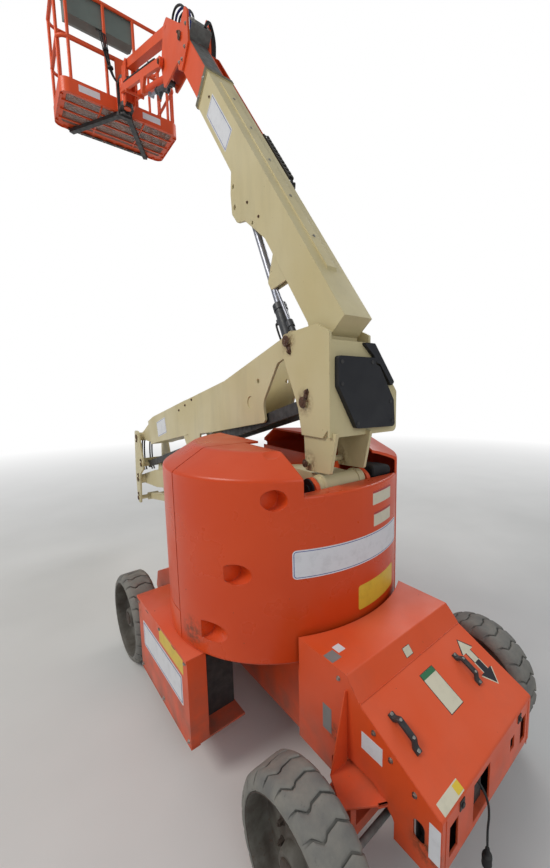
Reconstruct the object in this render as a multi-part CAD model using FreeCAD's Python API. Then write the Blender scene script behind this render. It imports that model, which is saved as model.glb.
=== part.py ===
import FreeCAD, Part
import math
import os

from FreeCAD import Vector as V

os.makedirs("parts", exist_ok=True)

# Articulating boom lift, millimetres. The origin is on the ground at the swing axis.
# +X is the steered end of the chassis, +Y its left side, +Z up.
# The turntable and all above it are drawn with the boom along -X, then turned by the swing at rest.

# Chassis
wheelbase = 2030.0
overall_width = 1500.0
tyre_radius = 317.5
tyre_width = 178.0
ground_clearance = 186.0
deck_height = 674.0
sheet = 8.0
frame_half_width = 300.0
frame_rear_x = -900.0
frame_front_x = 885.0
frame_top = 600.0
nose_floor = 400.0
ring_radius = 470.0
seat_gap = 0.3
hood_half_width = 377.0
cord_radius = 4.5
hood_top_height = 841.0
hood_fold_x = 1031.0
hood_fold_height = 761.0
hood_nose_x = 1413.0
hood_nose_height = 579.0
hood_sill_height = 320.0
charger_face_x = 1385.0
box_front_x = 200.0
box_rear_x = -612.0
box_half_width = 746.0
box_flange = 96.0
box_wall = 10.0
spindle_radius = 26.0
spindle_end_y = overall_width / 2 - 34.0
kingpin_y = overall_width / 2 - 220.0
kingpin_radius = 22.0
steer_arm = 135.0
tie_rod_radius = 14.0
tie_rod_height = 350.0
pin_clearance = 0.8

# Turntable
swing_rest = -2.2
drum_radius = 705.0
drum_floor = 683.0
cover_floor = 848.0
low_wall_height = 1515.0
hood_hinge = (-626.0, 244.0)
hood_hinge_radius = 8.0
tall_wall_height = 1595.0
dome_height = 1700.0
dome_inset = 165.0
channel_half_width = 200.0
skin = 12.0
notch_y = 305.0
right_hood_y = 424.0
counterweight_front_x = 60.0
rear_wall_x = 590.0
bolt_recess_radius = 50.0
bolt_recess_depth = 55.0

# Pivots in the plane of the boom, (x, z)
pivot_lower_boom = (511.0, 1505.0)
pivot_knuckle_low = (-3150.0, 860.0)
lower_link_offset = (-50.0, -250.0)
pivot_knuckle_high = (-3100.0, 1400.0)
pivot_upright = (262.0, 2259.0)
upper_link_offset = (149.0, -324.0)
pivot_lift_base = (420.0, 1615.0)
pivot_boom = (520.0, 2200.0)
tower_eye = (-1280.0, 1380.0)
tower_base = (-2600.0, 1130.0)
level_base = (345.0, 2130.0)
jib_pivot_low = (-1740.0, 4790.0)
jib_link_offset = (100.0, 220.0)
jib_cylinder_offset = (40.0, -150.0)
jib_eye = (545.0, -130.0)
jib_length = 1420.0
jib_rest = 20.5
boom_rest = 52.0

# Arms, half widths across the boom plane
boom_half_width = 90.0
boom_depth = 230.0
boom_under = -16.0
boom_wall = 8.0
boom_rear_s = 20.0
boom_mouth_s = 2355.0
fly_gap = 8.0
fly_tail_s = 950.0
fly_end_s = 2900.0
fly_stroke_in = 450.0
tip_pivot_s = 3005.0
tip_pivot_n = 150.0
fork_inner = 98.0
fork_outer = 113.0
upright_inner = 122.0
upright_outer = 137.0
link_inner = 62.0
link_outer = 86.0
lower_boom_half_width = 90.0
lower_boom_depth = 200.0
knuckle_inner = 146.0
knuckle_outer = 164.0
arm_pin_radius = 25.0
lift_eye = (1265.0, -104.0)
level_y = -68.0
level_eye = (629.0, -131.0)

# Platform
platform_floor_height = 5200.0
platform_length = 1220.0
platform_depth = 760.0
platform_near_x = -3350.0
rail_radius = 19.0
rail_height = 1080.0
mid_rail_height = 560.0
kick_height = 150.0
rotator_x = -3200.0


def block(x0, x1, y0, y1, z0, z1):
    return Part.makeBox(x1 - x0, y1 - y0, z1 - z0, V(x0, y0, z0))


def rounded_wire(corners, to_vector):
    """Closed wire through (u, v) or (u, v, radius) corners, with an arc at each radius."""
    edges = []
    joints = []
    count = len(corners)
    for i, corner in enumerate(corners):
        here = V(corner[0], corner[1], 0)
        before = V(corners[i - 1][0], corners[i - 1][1], 0)
        after = V(corners[(i + 1) % count][0], corners[(i + 1) % count][1], 0)
        radius = corner[2] if len(corner) > 2 else 0.0
        if radius <= 0:
            joints.append((here, None, here))
            continue
        a = (before - here).normalize()
        b = (after - here).normalize()
        half = a.getAngle(b) / 2
        reach = radius / math.tan(half)
        start = here + a * reach
        end = here + b * reach
        middle = here + (a + b).normalize() * (radius / math.sin(half) - radius)
        joints.append((start, middle, end))
    for i, (start, middle, end) in enumerate(joints):
        if middle is not None:
            points = [to_vector(p.x, p.y) for p in (start, middle, end)]
            edges.append(Part.Arc(*points).toShape())
        following = joints[(i + 1) % count][0]
        if end.distanceToPoint(following) > 1e-6:
            edges.append(Part.makeLine(to_vector(end.x, end.y), to_vector(following.x, following.y)))
    return Part.Wire(edges)


def side_plate(corners, y0, y1):
    """Prism across the boom plane from an (x, z) outline."""
    wire = rounded_wire(corners, lambda u, v: V(u, y0, v))
    return Part.Face(wire).extrude(V(0, y1 - y0, 0))


def plan_plate(corners, z0, z1):
    """Prism along Z from an (x, y) outline."""
    wire = rounded_wire(corners, lambda u, v: V(u, v, z0))
    return Part.Face(wire).extrude(V(0, 0, z1 - z0))


def cross_section(corners, x0, x1):
    """Prism along X from a (y, z) outline."""
    wire = rounded_wire(corners, lambda u, v: V(x0, u, v))
    return Part.Face(wire).extrude(V(x1 - x0, 0, 0))


def turned(profile):
    """Solid of revolution about Z from an (r, z) outline."""
    wire = rounded_wire(profile, lambda u, v: V(u, 0, v))
    return Part.Face(wire).revolve(V(0, 0, 0), V(0, 0, 1), 360)


def rod(start, end, radius):
    axis = end - start
    return Part.makeCylinder(radius, axis.Length, start, axis)


def cross_pin(pivot, half_length, radius, y0=None):
    """Round bar across the boom plane at (x, z)."""
    low = -half_length if y0 is None else y0
    return Part.makeCylinder(radius, half_length - low, V(pivot[0], low, pivot[1]), V(0, 1, 0))


def fused(first, *others):
    shape = first.fuse(list(others)) if others else first
    return shape.removeSplitter()


def both_sides(shape):
    return shape, shape.mirror(V(0, 0, 0), V(0, 1, 0))


def at_pivot(shape, pivot, elevation):
    """Place an arm drawn from the origin along +X so that it points to the front at its elevation."""
    moved = shape.copy()
    moved.rotate(V(0, 0, 0), V(0, 0, 1), 180)
    moved.rotate(V(0, 0, 0), V(0, 1, 0), elevation)
    moved.translate(V(pivot[0], 0, pivot[1]))
    return moved


def along_arm(pivot, elevation, s, n):
    """(x, z) of the point s along and n above an arm."""
    angle = math.radians(elevation)
    x = pivot[0] - s * math.cos(angle) + n * math.sin(angle)
    z = pivot[1] + s * math.sin(angle) + n * math.cos(angle)
    return x, z


def span(start, end):
    """Length and elevation from one (x, z) to another that lies further forward."""
    dx = start[0] - end[0]
    dz = end[1] - start[1]
    return math.hypot(dx, dz), math.degrees(math.atan2(dz, dx))


def shifted(pivot, offset):
    return pivot[0] + offset[0], pivot[1] + offset[1]


def save(name, shape, upper=False):
    if upper:
        shape = shape.copy()
        shape.rotate(V(0, 0, 0), V(0, 0, 1), swing_rest)
    shape.exportStep("parts/" + name + ".step")


def make_cylinder(name, base, eye, barrel_length, barrel_radius, rod_radius, rod_length, eye_radius,
                  half_width, offset=0.0):
    """Barrel with a base eye and a bore, and a rod with an eye, between two pins of the boom plane."""
    length, elevation = span(base, eye)
    bore = rod_radius + 1.0
    foot = eye_radius + 6.0
    barrel = Part.makeCylinder(barrel_radius, barrel_length - foot, V(foot, 0, 0), V(1, 0, 0))
    gland = Part.makeCylinder(barrel_radius + 4.0, 40.0, V(barrel_length - 40.0, 0, 0), V(1, 0, 0))
    ear = Part.makeCylinder(eye_radius, 2 * half_width, V(0, -half_width, 0), V(0, 1, 0))
    neck = block(0, foot + 20.0, -half_width * 0.8, half_width * 0.8, -eye_radius * 0.8, eye_radius * 0.8)
    pin = Part.makeCylinder(eye_radius * 0.5 + pin_clearance, 4 * half_width,
                            V(0, -2 * half_width, 0), V(0, 1, 0))
    inside = Part.makeCylinder(bore, barrel_length, V(foot + 10.0, 0, 0), V(1, 0, 0))
    barrel = fused(barrel, gland, ear, neck).cut(inside.fuse(pin))
    barrel.translate(V(0, -offset, 0))
    save(name + "_cylinder", at_pivot(barrel, base, elevation), upper=True)

    bar = Part.makeCylinder(rod_radius, rod_length, V(length - rod_length, 0, 0), V(1, 0, 0))
    head = Part.makeCylinder(eye_radius, 2 * half_width, V(length, -half_width, 0), V(0, 1, 0))
    piece = fused(bar, head)
    piece.translate(V(0, -offset, 0))
    save(name + "_rod", at_pivot(piece, base, elevation), upper=True)


def make_chassis_frame():
    body = block(frame_rear_x, frame_front_x, -frame_half_width, frame_half_width, 230.0, frame_top)
    nose = block(frame_front_x, hood_nose_x - 123.0, -220.0, 220.0, nose_floor, 470.0)
    ring = Part.makeCylinder(ring_radius, drum_floor - frame_top - seat_gap, V(0, 0, frame_top))
    frame = fused(body, nose, ring)
    well = Part.makeCylinder(150.0, 200.0, V(0, 0, 560.0))
    save("chassis_frame", frame.cut(well))


def make_front_hood():
    rear_x = 620.0
    profile = [(rear_x, hood_top_height), (954.0, hood_top_height, 12.0), (hood_fold_x, hood_fold_height, 12.0),
               (hood_nose_x, hood_nose_height, 14.0), (hood_nose_x, 350.0, 20.0),
               (hood_nose_x - 45.0, hood_sill_height), (rear_x, hood_sill_height)]
    outer = side_plate(profile, -hood_half_width, hood_half_width)
    inner_profile = [(rear_x - 10, hood_top_height - sheet), (951.0, hood_top_height - sheet),
                     (hood_fold_x - 3.0, hood_fold_height - sheet), (hood_nose_x - sheet, hood_nose_height - 5.0),
                     (hood_nose_x - sheet, hood_sill_height - 10), (rear_x - 10, hood_sill_height - 10)]
    inner_half = hood_half_width - sheet
    hood = outer.cut(side_plate(inner_profile, -inner_half, inner_half))
    around_drum = Part.makeCylinder(drum_radius + 25.0, 400.0, V(0, 0, deck_height))
    wheel_side = side_plate([(860.0, 300.0), (860.0, 400.0, 30.0), (930.0, 470.0, 40.0),
                             (1110.0, 470.0, 40.0), (1210.0, 400.0, 30.0), (1210.0, 300.0)], -500.0, 500.0)
    charger = block(1380.0, 1420.0, -160.0, -30.0, 385.0, 545.0)
    # front slots: y centre, half width, z low, z high
    for y, half, low, high in ((-300.0, 28.0, 400.0, 520.0), (300.0, 28.0, 400.0, 520.0),
                               (185.0, 20.0, 440.0, 500.0)):
        hood = hood.cut(block(1380.0, 1420.0, y - half, y + half, low, high))
    slots = [side_plate([(1295.0, 415.0, 20.0), (1295.0, 500.0, 20.0), (1345.0, 500.0, 20.0),
                         (1345.0, 415.0, 20.0)], side, side + 40.0) for side in (-400.0, 360.0)]
    hood = hood.cut(around_drum.fuse([wheel_side, charger] + slots))
    cradle = block(1300.0, hood_nose_x - sheet + 1.0, -165.0, -25.0, 375.0, 385.0)
    feet = []
    for side in (-1, 1):
        y0, y1 = sorted((side * (frame_half_width + seat_gap), side * (hood_half_width - 1.0)))
        feet.append(block(700.0, frame_front_x - 5.0, y0, y1, 560.0, 590.0))
    save("front_hood", fused(hood, cradle, *feet))
    unit = plan_plate([(1310.0, -150.0), (charger_face_x, -150.0, 8.0), (charger_face_x, -40.0, 8.0),
                       (1310.0, -40.0)], 385.3, 530.0)
    save("charger_unit", unit)


def make_hood_handles():
    slope = math.degrees(math.atan2(hood_fold_height - hood_nose_height, hood_nose_x - hood_fold_x))
    handles = []
    for y in (-292.0, 187.0):
        strap = side_plate([(0, 0), (0, 10.0, 3.0), (22.0, 12.0, 12.0), (40.0, 34.0, 12.0), (122.0, 34.0, 12.0),
                            (140.0, 12.0, 12.0), (162.0, 10.0, 3.0), (162.0, 0), (134.0, 0, 10.0),
                            (118.0, 24.0, 10.0), (44.0, 24.0, 10.0), (28.0, 0, 10.0)], -12.0, 12.0)
        strap.rotate(V(0, 0, 0), V(0, 1, 0), slope)
        start = 90.0
        rise = -start * math.sin(math.radians(slope)) + 0.3
        strap.translate(V(hood_fold_x + start * math.cos(math.radians(slope)), y, hood_fold_height + rise))
        handles.append(strap)
    save("hood_handles", Part.makeCompound(handles))


def make_front_axle():
    x = wheelbase / 2
    beam = block(x - 55.0, x + 55.0, 60.0 - kingpin_y, kingpin_y - 60.0, 250.0, 300.0)
    pedestal = block(frame_front_x + seat_gap, x + 90.0, -200.0, 200.0, 290.0, nose_floor - seat_gap)
    pieces = [pedestal]
    for side in (-1, 1):
        y = side * kingpin_y
        low = plan_plate([(x - 55.0, y - side * 62.0), (x + 55.0, y - side * 62.0), (x + 34.0, y + side * 34.0, 30.0),
                          (x - 34.0, y + side * 34.0, 30.0)], 190.0, 215.0)
        high = low.copy()
        high.translate(V(0, 0, 212.0))
        inner = sorted((y - side * 62.0, y - side * 92.0))
        web = block(x - 55.0, x + 55.0, inner[0], inner[1], 190.0, 427.0)
        pieces += [low, high, web]
        for height in (190.0, 402.0):
            pieces.append(Part.makeCylinder(36.0, 25.0, V(x, y, height)))
    axle = fused(beam, *pieces)
    bores = [Part.makeCylinder(kingpin_radius + pin_clearance, 400.0, V(x, side * kingpin_y, 150.0))
             for side in (-1, 1)]
    save("front_axle", axle.cut(Part.makeCompound(bores)))

    lift = block(x + steer_arm - 40.0, x + steer_arm + 40.0, -150.0, 150.0, 380.0, nose_floor - seat_gap)
    barrel = rod(V(x + steer_arm, -170.0, tie_rod_height), V(x + steer_arm, 170.0, tie_rod_height), 36.0)
    bore = rod(V(x + steer_arm, -300.0, tie_rod_height), V(x + steer_arm, 300.0, tie_rod_height),
               tie_rod_radius + pin_clearance)
    save("steer_cylinder", fused(barrel, lift).cut(bore))

    tie = rod(V(x + steer_arm, -kingpin_y, tie_rod_height), V(x + steer_arm, kingpin_y, tie_rod_height),
              tie_rod_radius)
    ends = []
    for side in (-1, 1):
        ends.append(Part.makeCylinder(20.0, 30.0, V(x + steer_arm, side * kingpin_y, tie_rod_height - 15.0)))
        ends.append(Part.makeCylinder(8.0, 75.0, V(x + steer_arm, side * kingpin_y, tie_rod_height - 55.0)))
    save("tie_rod", fused(tie, *ends))


def make_steer_knuckles():
    x = wheelbase / 2
    for name, side in (("left", 1), ("right", -1)):
        y = side * kingpin_y
        pin = Part.makeCylinder(kingpin_radius, 250.0, V(x, y, 184.0))
        post = Part.makeCylinder(34.0, 181.0, V(x, y, 218.0))
        spindle = rod(V(x, y, tyre_radius), V(x, side * spindle_end_y, tyre_radius), spindle_radius)
        cap = Part.makeCylinder(38.0, 10.0, V(x, y, 428.0))
        reach = x + steer_arm
        arm = plan_plate([(x, y - 26.0), (reach + 42.0, y - 26.0, 22.0), (reach + 42.0, y + 26.0, 22.0),
                          (x, y + 26.0)], tie_rod_height - 44.0, tie_rod_height - 22.0)
        slot = plan_plate([(reach - 14.0, y - 11.0, 10.0), (reach + 32.0, y - 11.0, 10.0),
                           (reach + 32.0, y + 11.0, 10.0), (reach - 14.0, y + 11.0, 10.0)],
                          tie_rod_height - 60.0, tie_rod_height)
        knuckle = fused(pin, post, spindle, cap, arm.cut(slot))
        save("steer_knuckle_" + name, knuckle)


def make_wheels():
    tread = tyre_radius
    # tyre section: radius, half width
    steps = ((186.0, 70.0), (192.0, 80.0), (216.0, 80.0), (222.0, 88.0), (262.0, 89.0), (286.0, 85.0),
             (304.0, 76.0), (tread, 62.0))
    section = [(r, -w) for r, w in steps] + [(r, w) for r, w in reversed(steps)]
    tyre = turned(section)
    barrel = turned([(172.0, -72.0), (185.7, -72.0), (185.7, 72.0), (172.0, 72.0)])
    disc = turned([(0.0, 8.0), (70.0, 8.0), (110.0, -12.0), (172.5, -12.0), (172.5, 2.0), (110.0, 2.0),
                   (76.0, 22.0), (60.0, 62.0), (0.0, 62.0)])
    hub_hole = Part.makeCylinder(spindle_radius + pin_clearance, 58.0, V(0, 0, 0))
    rim = fused(barrel, disc)
    for name, x, side in (("front_left", 1, 1), ("front_right", 1, -1), ("rear_left", -1, 1), ("rear_right", -1, -1)):
        centre = V(x * wheelbase / 2, side * (overall_width - tyre_width) / 2, tyre_radius)
        pieces = {"tyre_": tyre, "rim_": rim.cut(hub_hole)}
        for label, shape in pieces.items():
            piece = shape.copy()
            piece.rotate(V(0, 0, 0), V(1, 0, 0), -90 * side)
            piece.translate(centre)
            save(label + name, piece)


def make_rear_axle():
    x = -wheelbase / 2
    beam_end = kingpin_y - 150.0
    drive_end = kingpin_y + 15.0
    beam = block(x - 60.0, x + 60.0, -beam_end, beam_end, 262.0, 372.0)
    bridge = block(x - 60.0, frame_rear_x - seat_gap, -150.0, 150.0, 360.0, 415.0)
    drives = []
    for side in (-1, 1):
        drives.append(rod(V(x, side * beam_end, tyre_radius), V(x, side * drive_end, tyre_radius), 105.0))
        drives.append(rod(V(x, side * drive_end, tyre_radius), V(x, side * spindle_end_y, tyre_radius),
                          spindle_radius))
    save("rear_axle", fused(beam, bridge, *drives))


def make_battery_boxes():
    boxes = []
    packs = []
    pack_inner = box_half_width - 296.0
    for side in (-1, 1):
        def wall(x0, x1, y0, y1, z0, z1):
            low, high = sorted((side * y0, side * y1))
            return block(x0, x1, low, high, z0, z1)
        outer = wall(box_rear_x, box_front_x, box_half_width - box_wall, box_half_width, ground_clearance,
                     deck_height)
        top = wall(box_rear_x, box_front_x, frame_half_width + 6.0, box_half_width, deck_height - box_wall,
                   deck_height)
        floor = wall(box_rear_x, box_front_x, pack_inner - 5.0, box_half_width, ground_clearance,
                     ground_clearance + box_wall)
        front = wall(box_front_x - box_wall, box_front_x, box_half_width - box_flange, box_half_width,
                     ground_clearance, deck_height)
        rear = wall(box_rear_x, box_rear_x + box_wall, frame_half_width + seat_gap, box_half_width,
                    ground_clearance, deck_height)
        flange = wall(box_rear_x, box_front_x, frame_half_width + seat_gap, frame_half_width + box_wall, 540.0,
                      deck_height)
        around_ring = Part.makeCylinder(ring_radius + 2.0, 200.0, V(0, 0, frame_top - 0.5))
        boxes.append(fused(outer, top, floor, front, rear, flange).cut(around_ring))
        packs.append(wall(box_rear_x + 40.0, box_front_x - 120.0, pack_inner, box_half_width - box_wall - 20.0,
                          ground_clearance + box_wall + 0.3, 560.0))
    save("battery_boxes", Part.makeCompound(boxes))
    save("battery_packs", Part.makeCompound(packs))


def make_rear_cover():
    x0 = -630.0
    rest = frame_rear_x - seat_gap
    profile = [(x0, 668.0), (-980.0, 620.0, 30.0), (-1240.0, 500.0, 40.0), (-1290.0, 360.0), (-1240.0, 300.0),
               (-1130.0, 300.0), (-1130.0, 422.0), (rest, 440.0), (rest, frame_top + seat_gap),
               (x0, frame_top + seat_gap)]
    cover = side_plate(profile, -440.0, 440.0)
    save("rear_cover", cover)


def make_charger_cord():
    # route of the short hanging cord, x, y, z, from its socket in the nose to the plug
    route = [V(charger_face_x + 3.0, -95.0, 505.0), V(1420.0, -95.0, 480.0), V(1442.0, -96.0, 440.0),
             V(1448.0, -98.0, 392.0), V(1446.0, -101.0, 345.0), V(1447.0, -103.0, 300.0), V(1449.0, -102.0, 257.0)]
    radius = cord_radius
    edges = []
    previous = route[0]
    for i in range(1, len(route) - 1):
        a = route[i - 1] - route[i]
        b = route[i + 1] - route[i]
        shorter = min(a.Length, b.Length)
        turn = math.pi - a.getAngle(b)
        bend = 0.45 * shorter / math.tan(turn / 2)
        print("cord bend radius", round(bend, 1))
        start = route[i] + a.normalize() * 0.45 * shorter
        end = route[i] + b.normalize() * 0.45 * shorter
        middle = route[i] + (a + b).normalize() * (bend / math.cos(turn / 2) - bend)
        edges.append(Part.makeLine(previous, start))
        edges.append(Part.Arc(start, middle, end).toShape())
        previous = end
    edges.append(Part.makeLine(previous, route[-1]))
    path = Part.Wire(edges)
    ring = Part.Wire(Part.makeCircle(radius, route[0], route[1] - route[0]))
    tube = path.makePipeShell([ring], True, False)
    print("cord volume over section times length", round(tube.Volume / (math.pi * radius ** 2 * path.Length), 4))
    print("cord length", round(path.Length, 1))
    save("charger_cord", tube)
    top = route[-1] - V(0, 0, 0.4)
    body = turned([(0, 0), (cord_radius + 2.0, 0), (11.0, -28.0), (20.0, -34.0, 6.0), (20.0, -76.0, 4.0),
                   (0, -76.0)])
    blades = [block(-3.0, 3.0, y - 1.0, y + 1.0, -95.0, -75.0) for y in (-7.0, 7.0)]
    plug = fused(body, *blades)
    plug.translate(top)
    save("charger_plug", plug)


def drum_profile(inset, top, shoulder):
    r = drum_radius - inset
    floor = drum_floor if inset == 0 else drum_floor - 20.0
    corner = 18.0 if inset == 0 else 0.0
    if shoulder:
        return [(0, floor), (r, floor, corner), (r, tall_wall_height - inset, 25.0),
                (drum_radius - dome_inset, top - inset, 60.0), (0, top - inset)]
    return [(0, floor), (r, floor, corner), (r, top, 14.0), (0, top)]


def make_turntable():
    floor = drum_floor + 37.0
    plate = Part.makeCylinder(drum_radius - skin - 6.0, 37.0, V(0, 0, drum_floor))
    plates = []
    for side in (-1, 1):
        y0, y1 = sorted((side * 162.0, side * 187.0))
        plates.append(side_plate([(300.0, floor), (585.0, floor), (585.0, 1480.0), (571.0, 1530.0, 40.0),
                                  (511.0, 1565.0, 40.0), (440.0, 1530.0, 40.0), (380.0, 1200.0, 40.0)], y0, y1))
        y0, y1 = sorted((side * channel_half_width, side * (channel_half_width + 10.0)))
        plates.append(block(-630.0, 290.0, y0, y1, floor, 1560.0))
        plates.append(block(290.0, 320.0, min(y0, side * 162.0), max(y1, side * 162.0), floor, 1400.0))
        plates.append(Part.makeCylinder(hood_hinge_radius, 1450.0 - drum_floor - 1.0,
                                        V(hood_hinge[0], side * hood_hinge[1], drum_floor + 1.0)))
    lower_link_base = shifted(pivot_lower_boom, lower_link_offset)
    pins = [cross_pin(pivot_lower_boom, 187.0, 30.0), cross_pin(lower_link_base, 187.0, 20.0)]
    front = -650.0
    skirt = turned([(drum_radius - skin - 7.0, drum_floor), (drum_radius, drum_floor, 12.0),
                    (drum_radius, cover_floor - 6.0), (drum_radius - skin, cover_floor - 6.0),
                    (drum_radius - skin, floor), (drum_radius - skin - 7.0, floor)])
    left_skirt = skirt.common(block(front, counterweight_front_x - 8.0, -800.0, -channel_half_width - 16.0,
                                    0.0, 2000.0))
    right_skirt = skirt.common(block(front, rear_wall_x - 30.0, channel_half_width + 16.0, 800.0, 0.0, 2000.0))
    save("turntable_frame", fused(plate, left_skirt, right_skirt, *plates, *pins), upper=True)

    tall = turned(drum_profile(0, dome_height, True))
    low = turned(drum_profile(0, low_wall_height, False))
    left = tall.common(block(counterweight_front_x, 800.0, -800.0, -notch_y, 0.0, 2000.0))
    rear = low.common(block(rear_wall_x, 800.0, -notch_y, right_hood_y, 0.0, 2000.0))
    keep_out = Part.makeCylinder(drum_radius - skin - 5.0, 38.0, V(0, 0, drum_floor - 0.5))
    weight = fused(left, rear)
    for y, z in ((-420.0, 1502.0), (-556.0, 1142.0), (-640.0, 824.0)):
        surface = math.sqrt(drum_radius ** 2 - y ** 2)
        weight = weight.cut(rod(V(surface - bolt_recess_depth, y, z), V(900.0, y, z), bolt_recess_radius))
    dimple = Part.makeSphere(110.0, V(470.0, -380.0, dome_height + 78.0))
    weight = weight.cut(dimple.fuse(keep_out))
    save("counterweight", weight, upper=True)

    shell = tall.cut(turned(drum_profile(skin, dome_height, True)))
    left_zone = block(front, counterweight_front_x - 8.0, -800.0, -channel_half_width - 16.0, cover_floor, 2000.0)
    right_zone = block(front, rear_wall_x - 30.0, channel_half_width + 16.0, 800.0, cover_floor, 2000.0)
    bound = Part.makeCylinder(drum_radius - 2.0, 2000.0)
    for name, zone, side in (("left", left_zone, -1), ("right", right_zone, 1)):
        ears = []
        for height in (870.0, 1120.0, 1420.0):
            y0, y1 = sorted((side * (hood_hinge[1] - 16.0), side * (hood_hinge[1] + 60.0)))
            ears.append(block(front, hood_hinge[0] + 18.0, y0, y1, height, height + 12.0).common(bound))
        bore = Part.makeCylinder(hood_hinge_radius + seat_gap, 1200.0, V(hood_hinge[0], side * hood_hinge[1], 700.0))
        save("turntable_hood_" + name, fused(shell.common(zone), *ears).cut(bore), upper=True)

    modules = [block(-420.0, 30.0, -500.0, -230.0, floor + seat_gap, 1380.0),
               block(-420.0, 300.0, 230.0, 500.0, floor + seat_gap, 1380.0)]
    save("power_modules", Part.makeCompound(modules), upper=True)


def arm_box(length, half_width, profile):
    """Box arm from a list of (s, top, bottom) stations."""
    top = [(s, high) for s, high, low in profile]
    bottom = [(s, low) for s, high, low in reversed(profile)]
    return side_plate(top + bottom, -half_width, half_width)


def hub(s, n, half_width, radius):
    return Part.makeCylinder(radius, 2 * half_width, V(s, -half_width, n), V(0, 1, 0))


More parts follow.
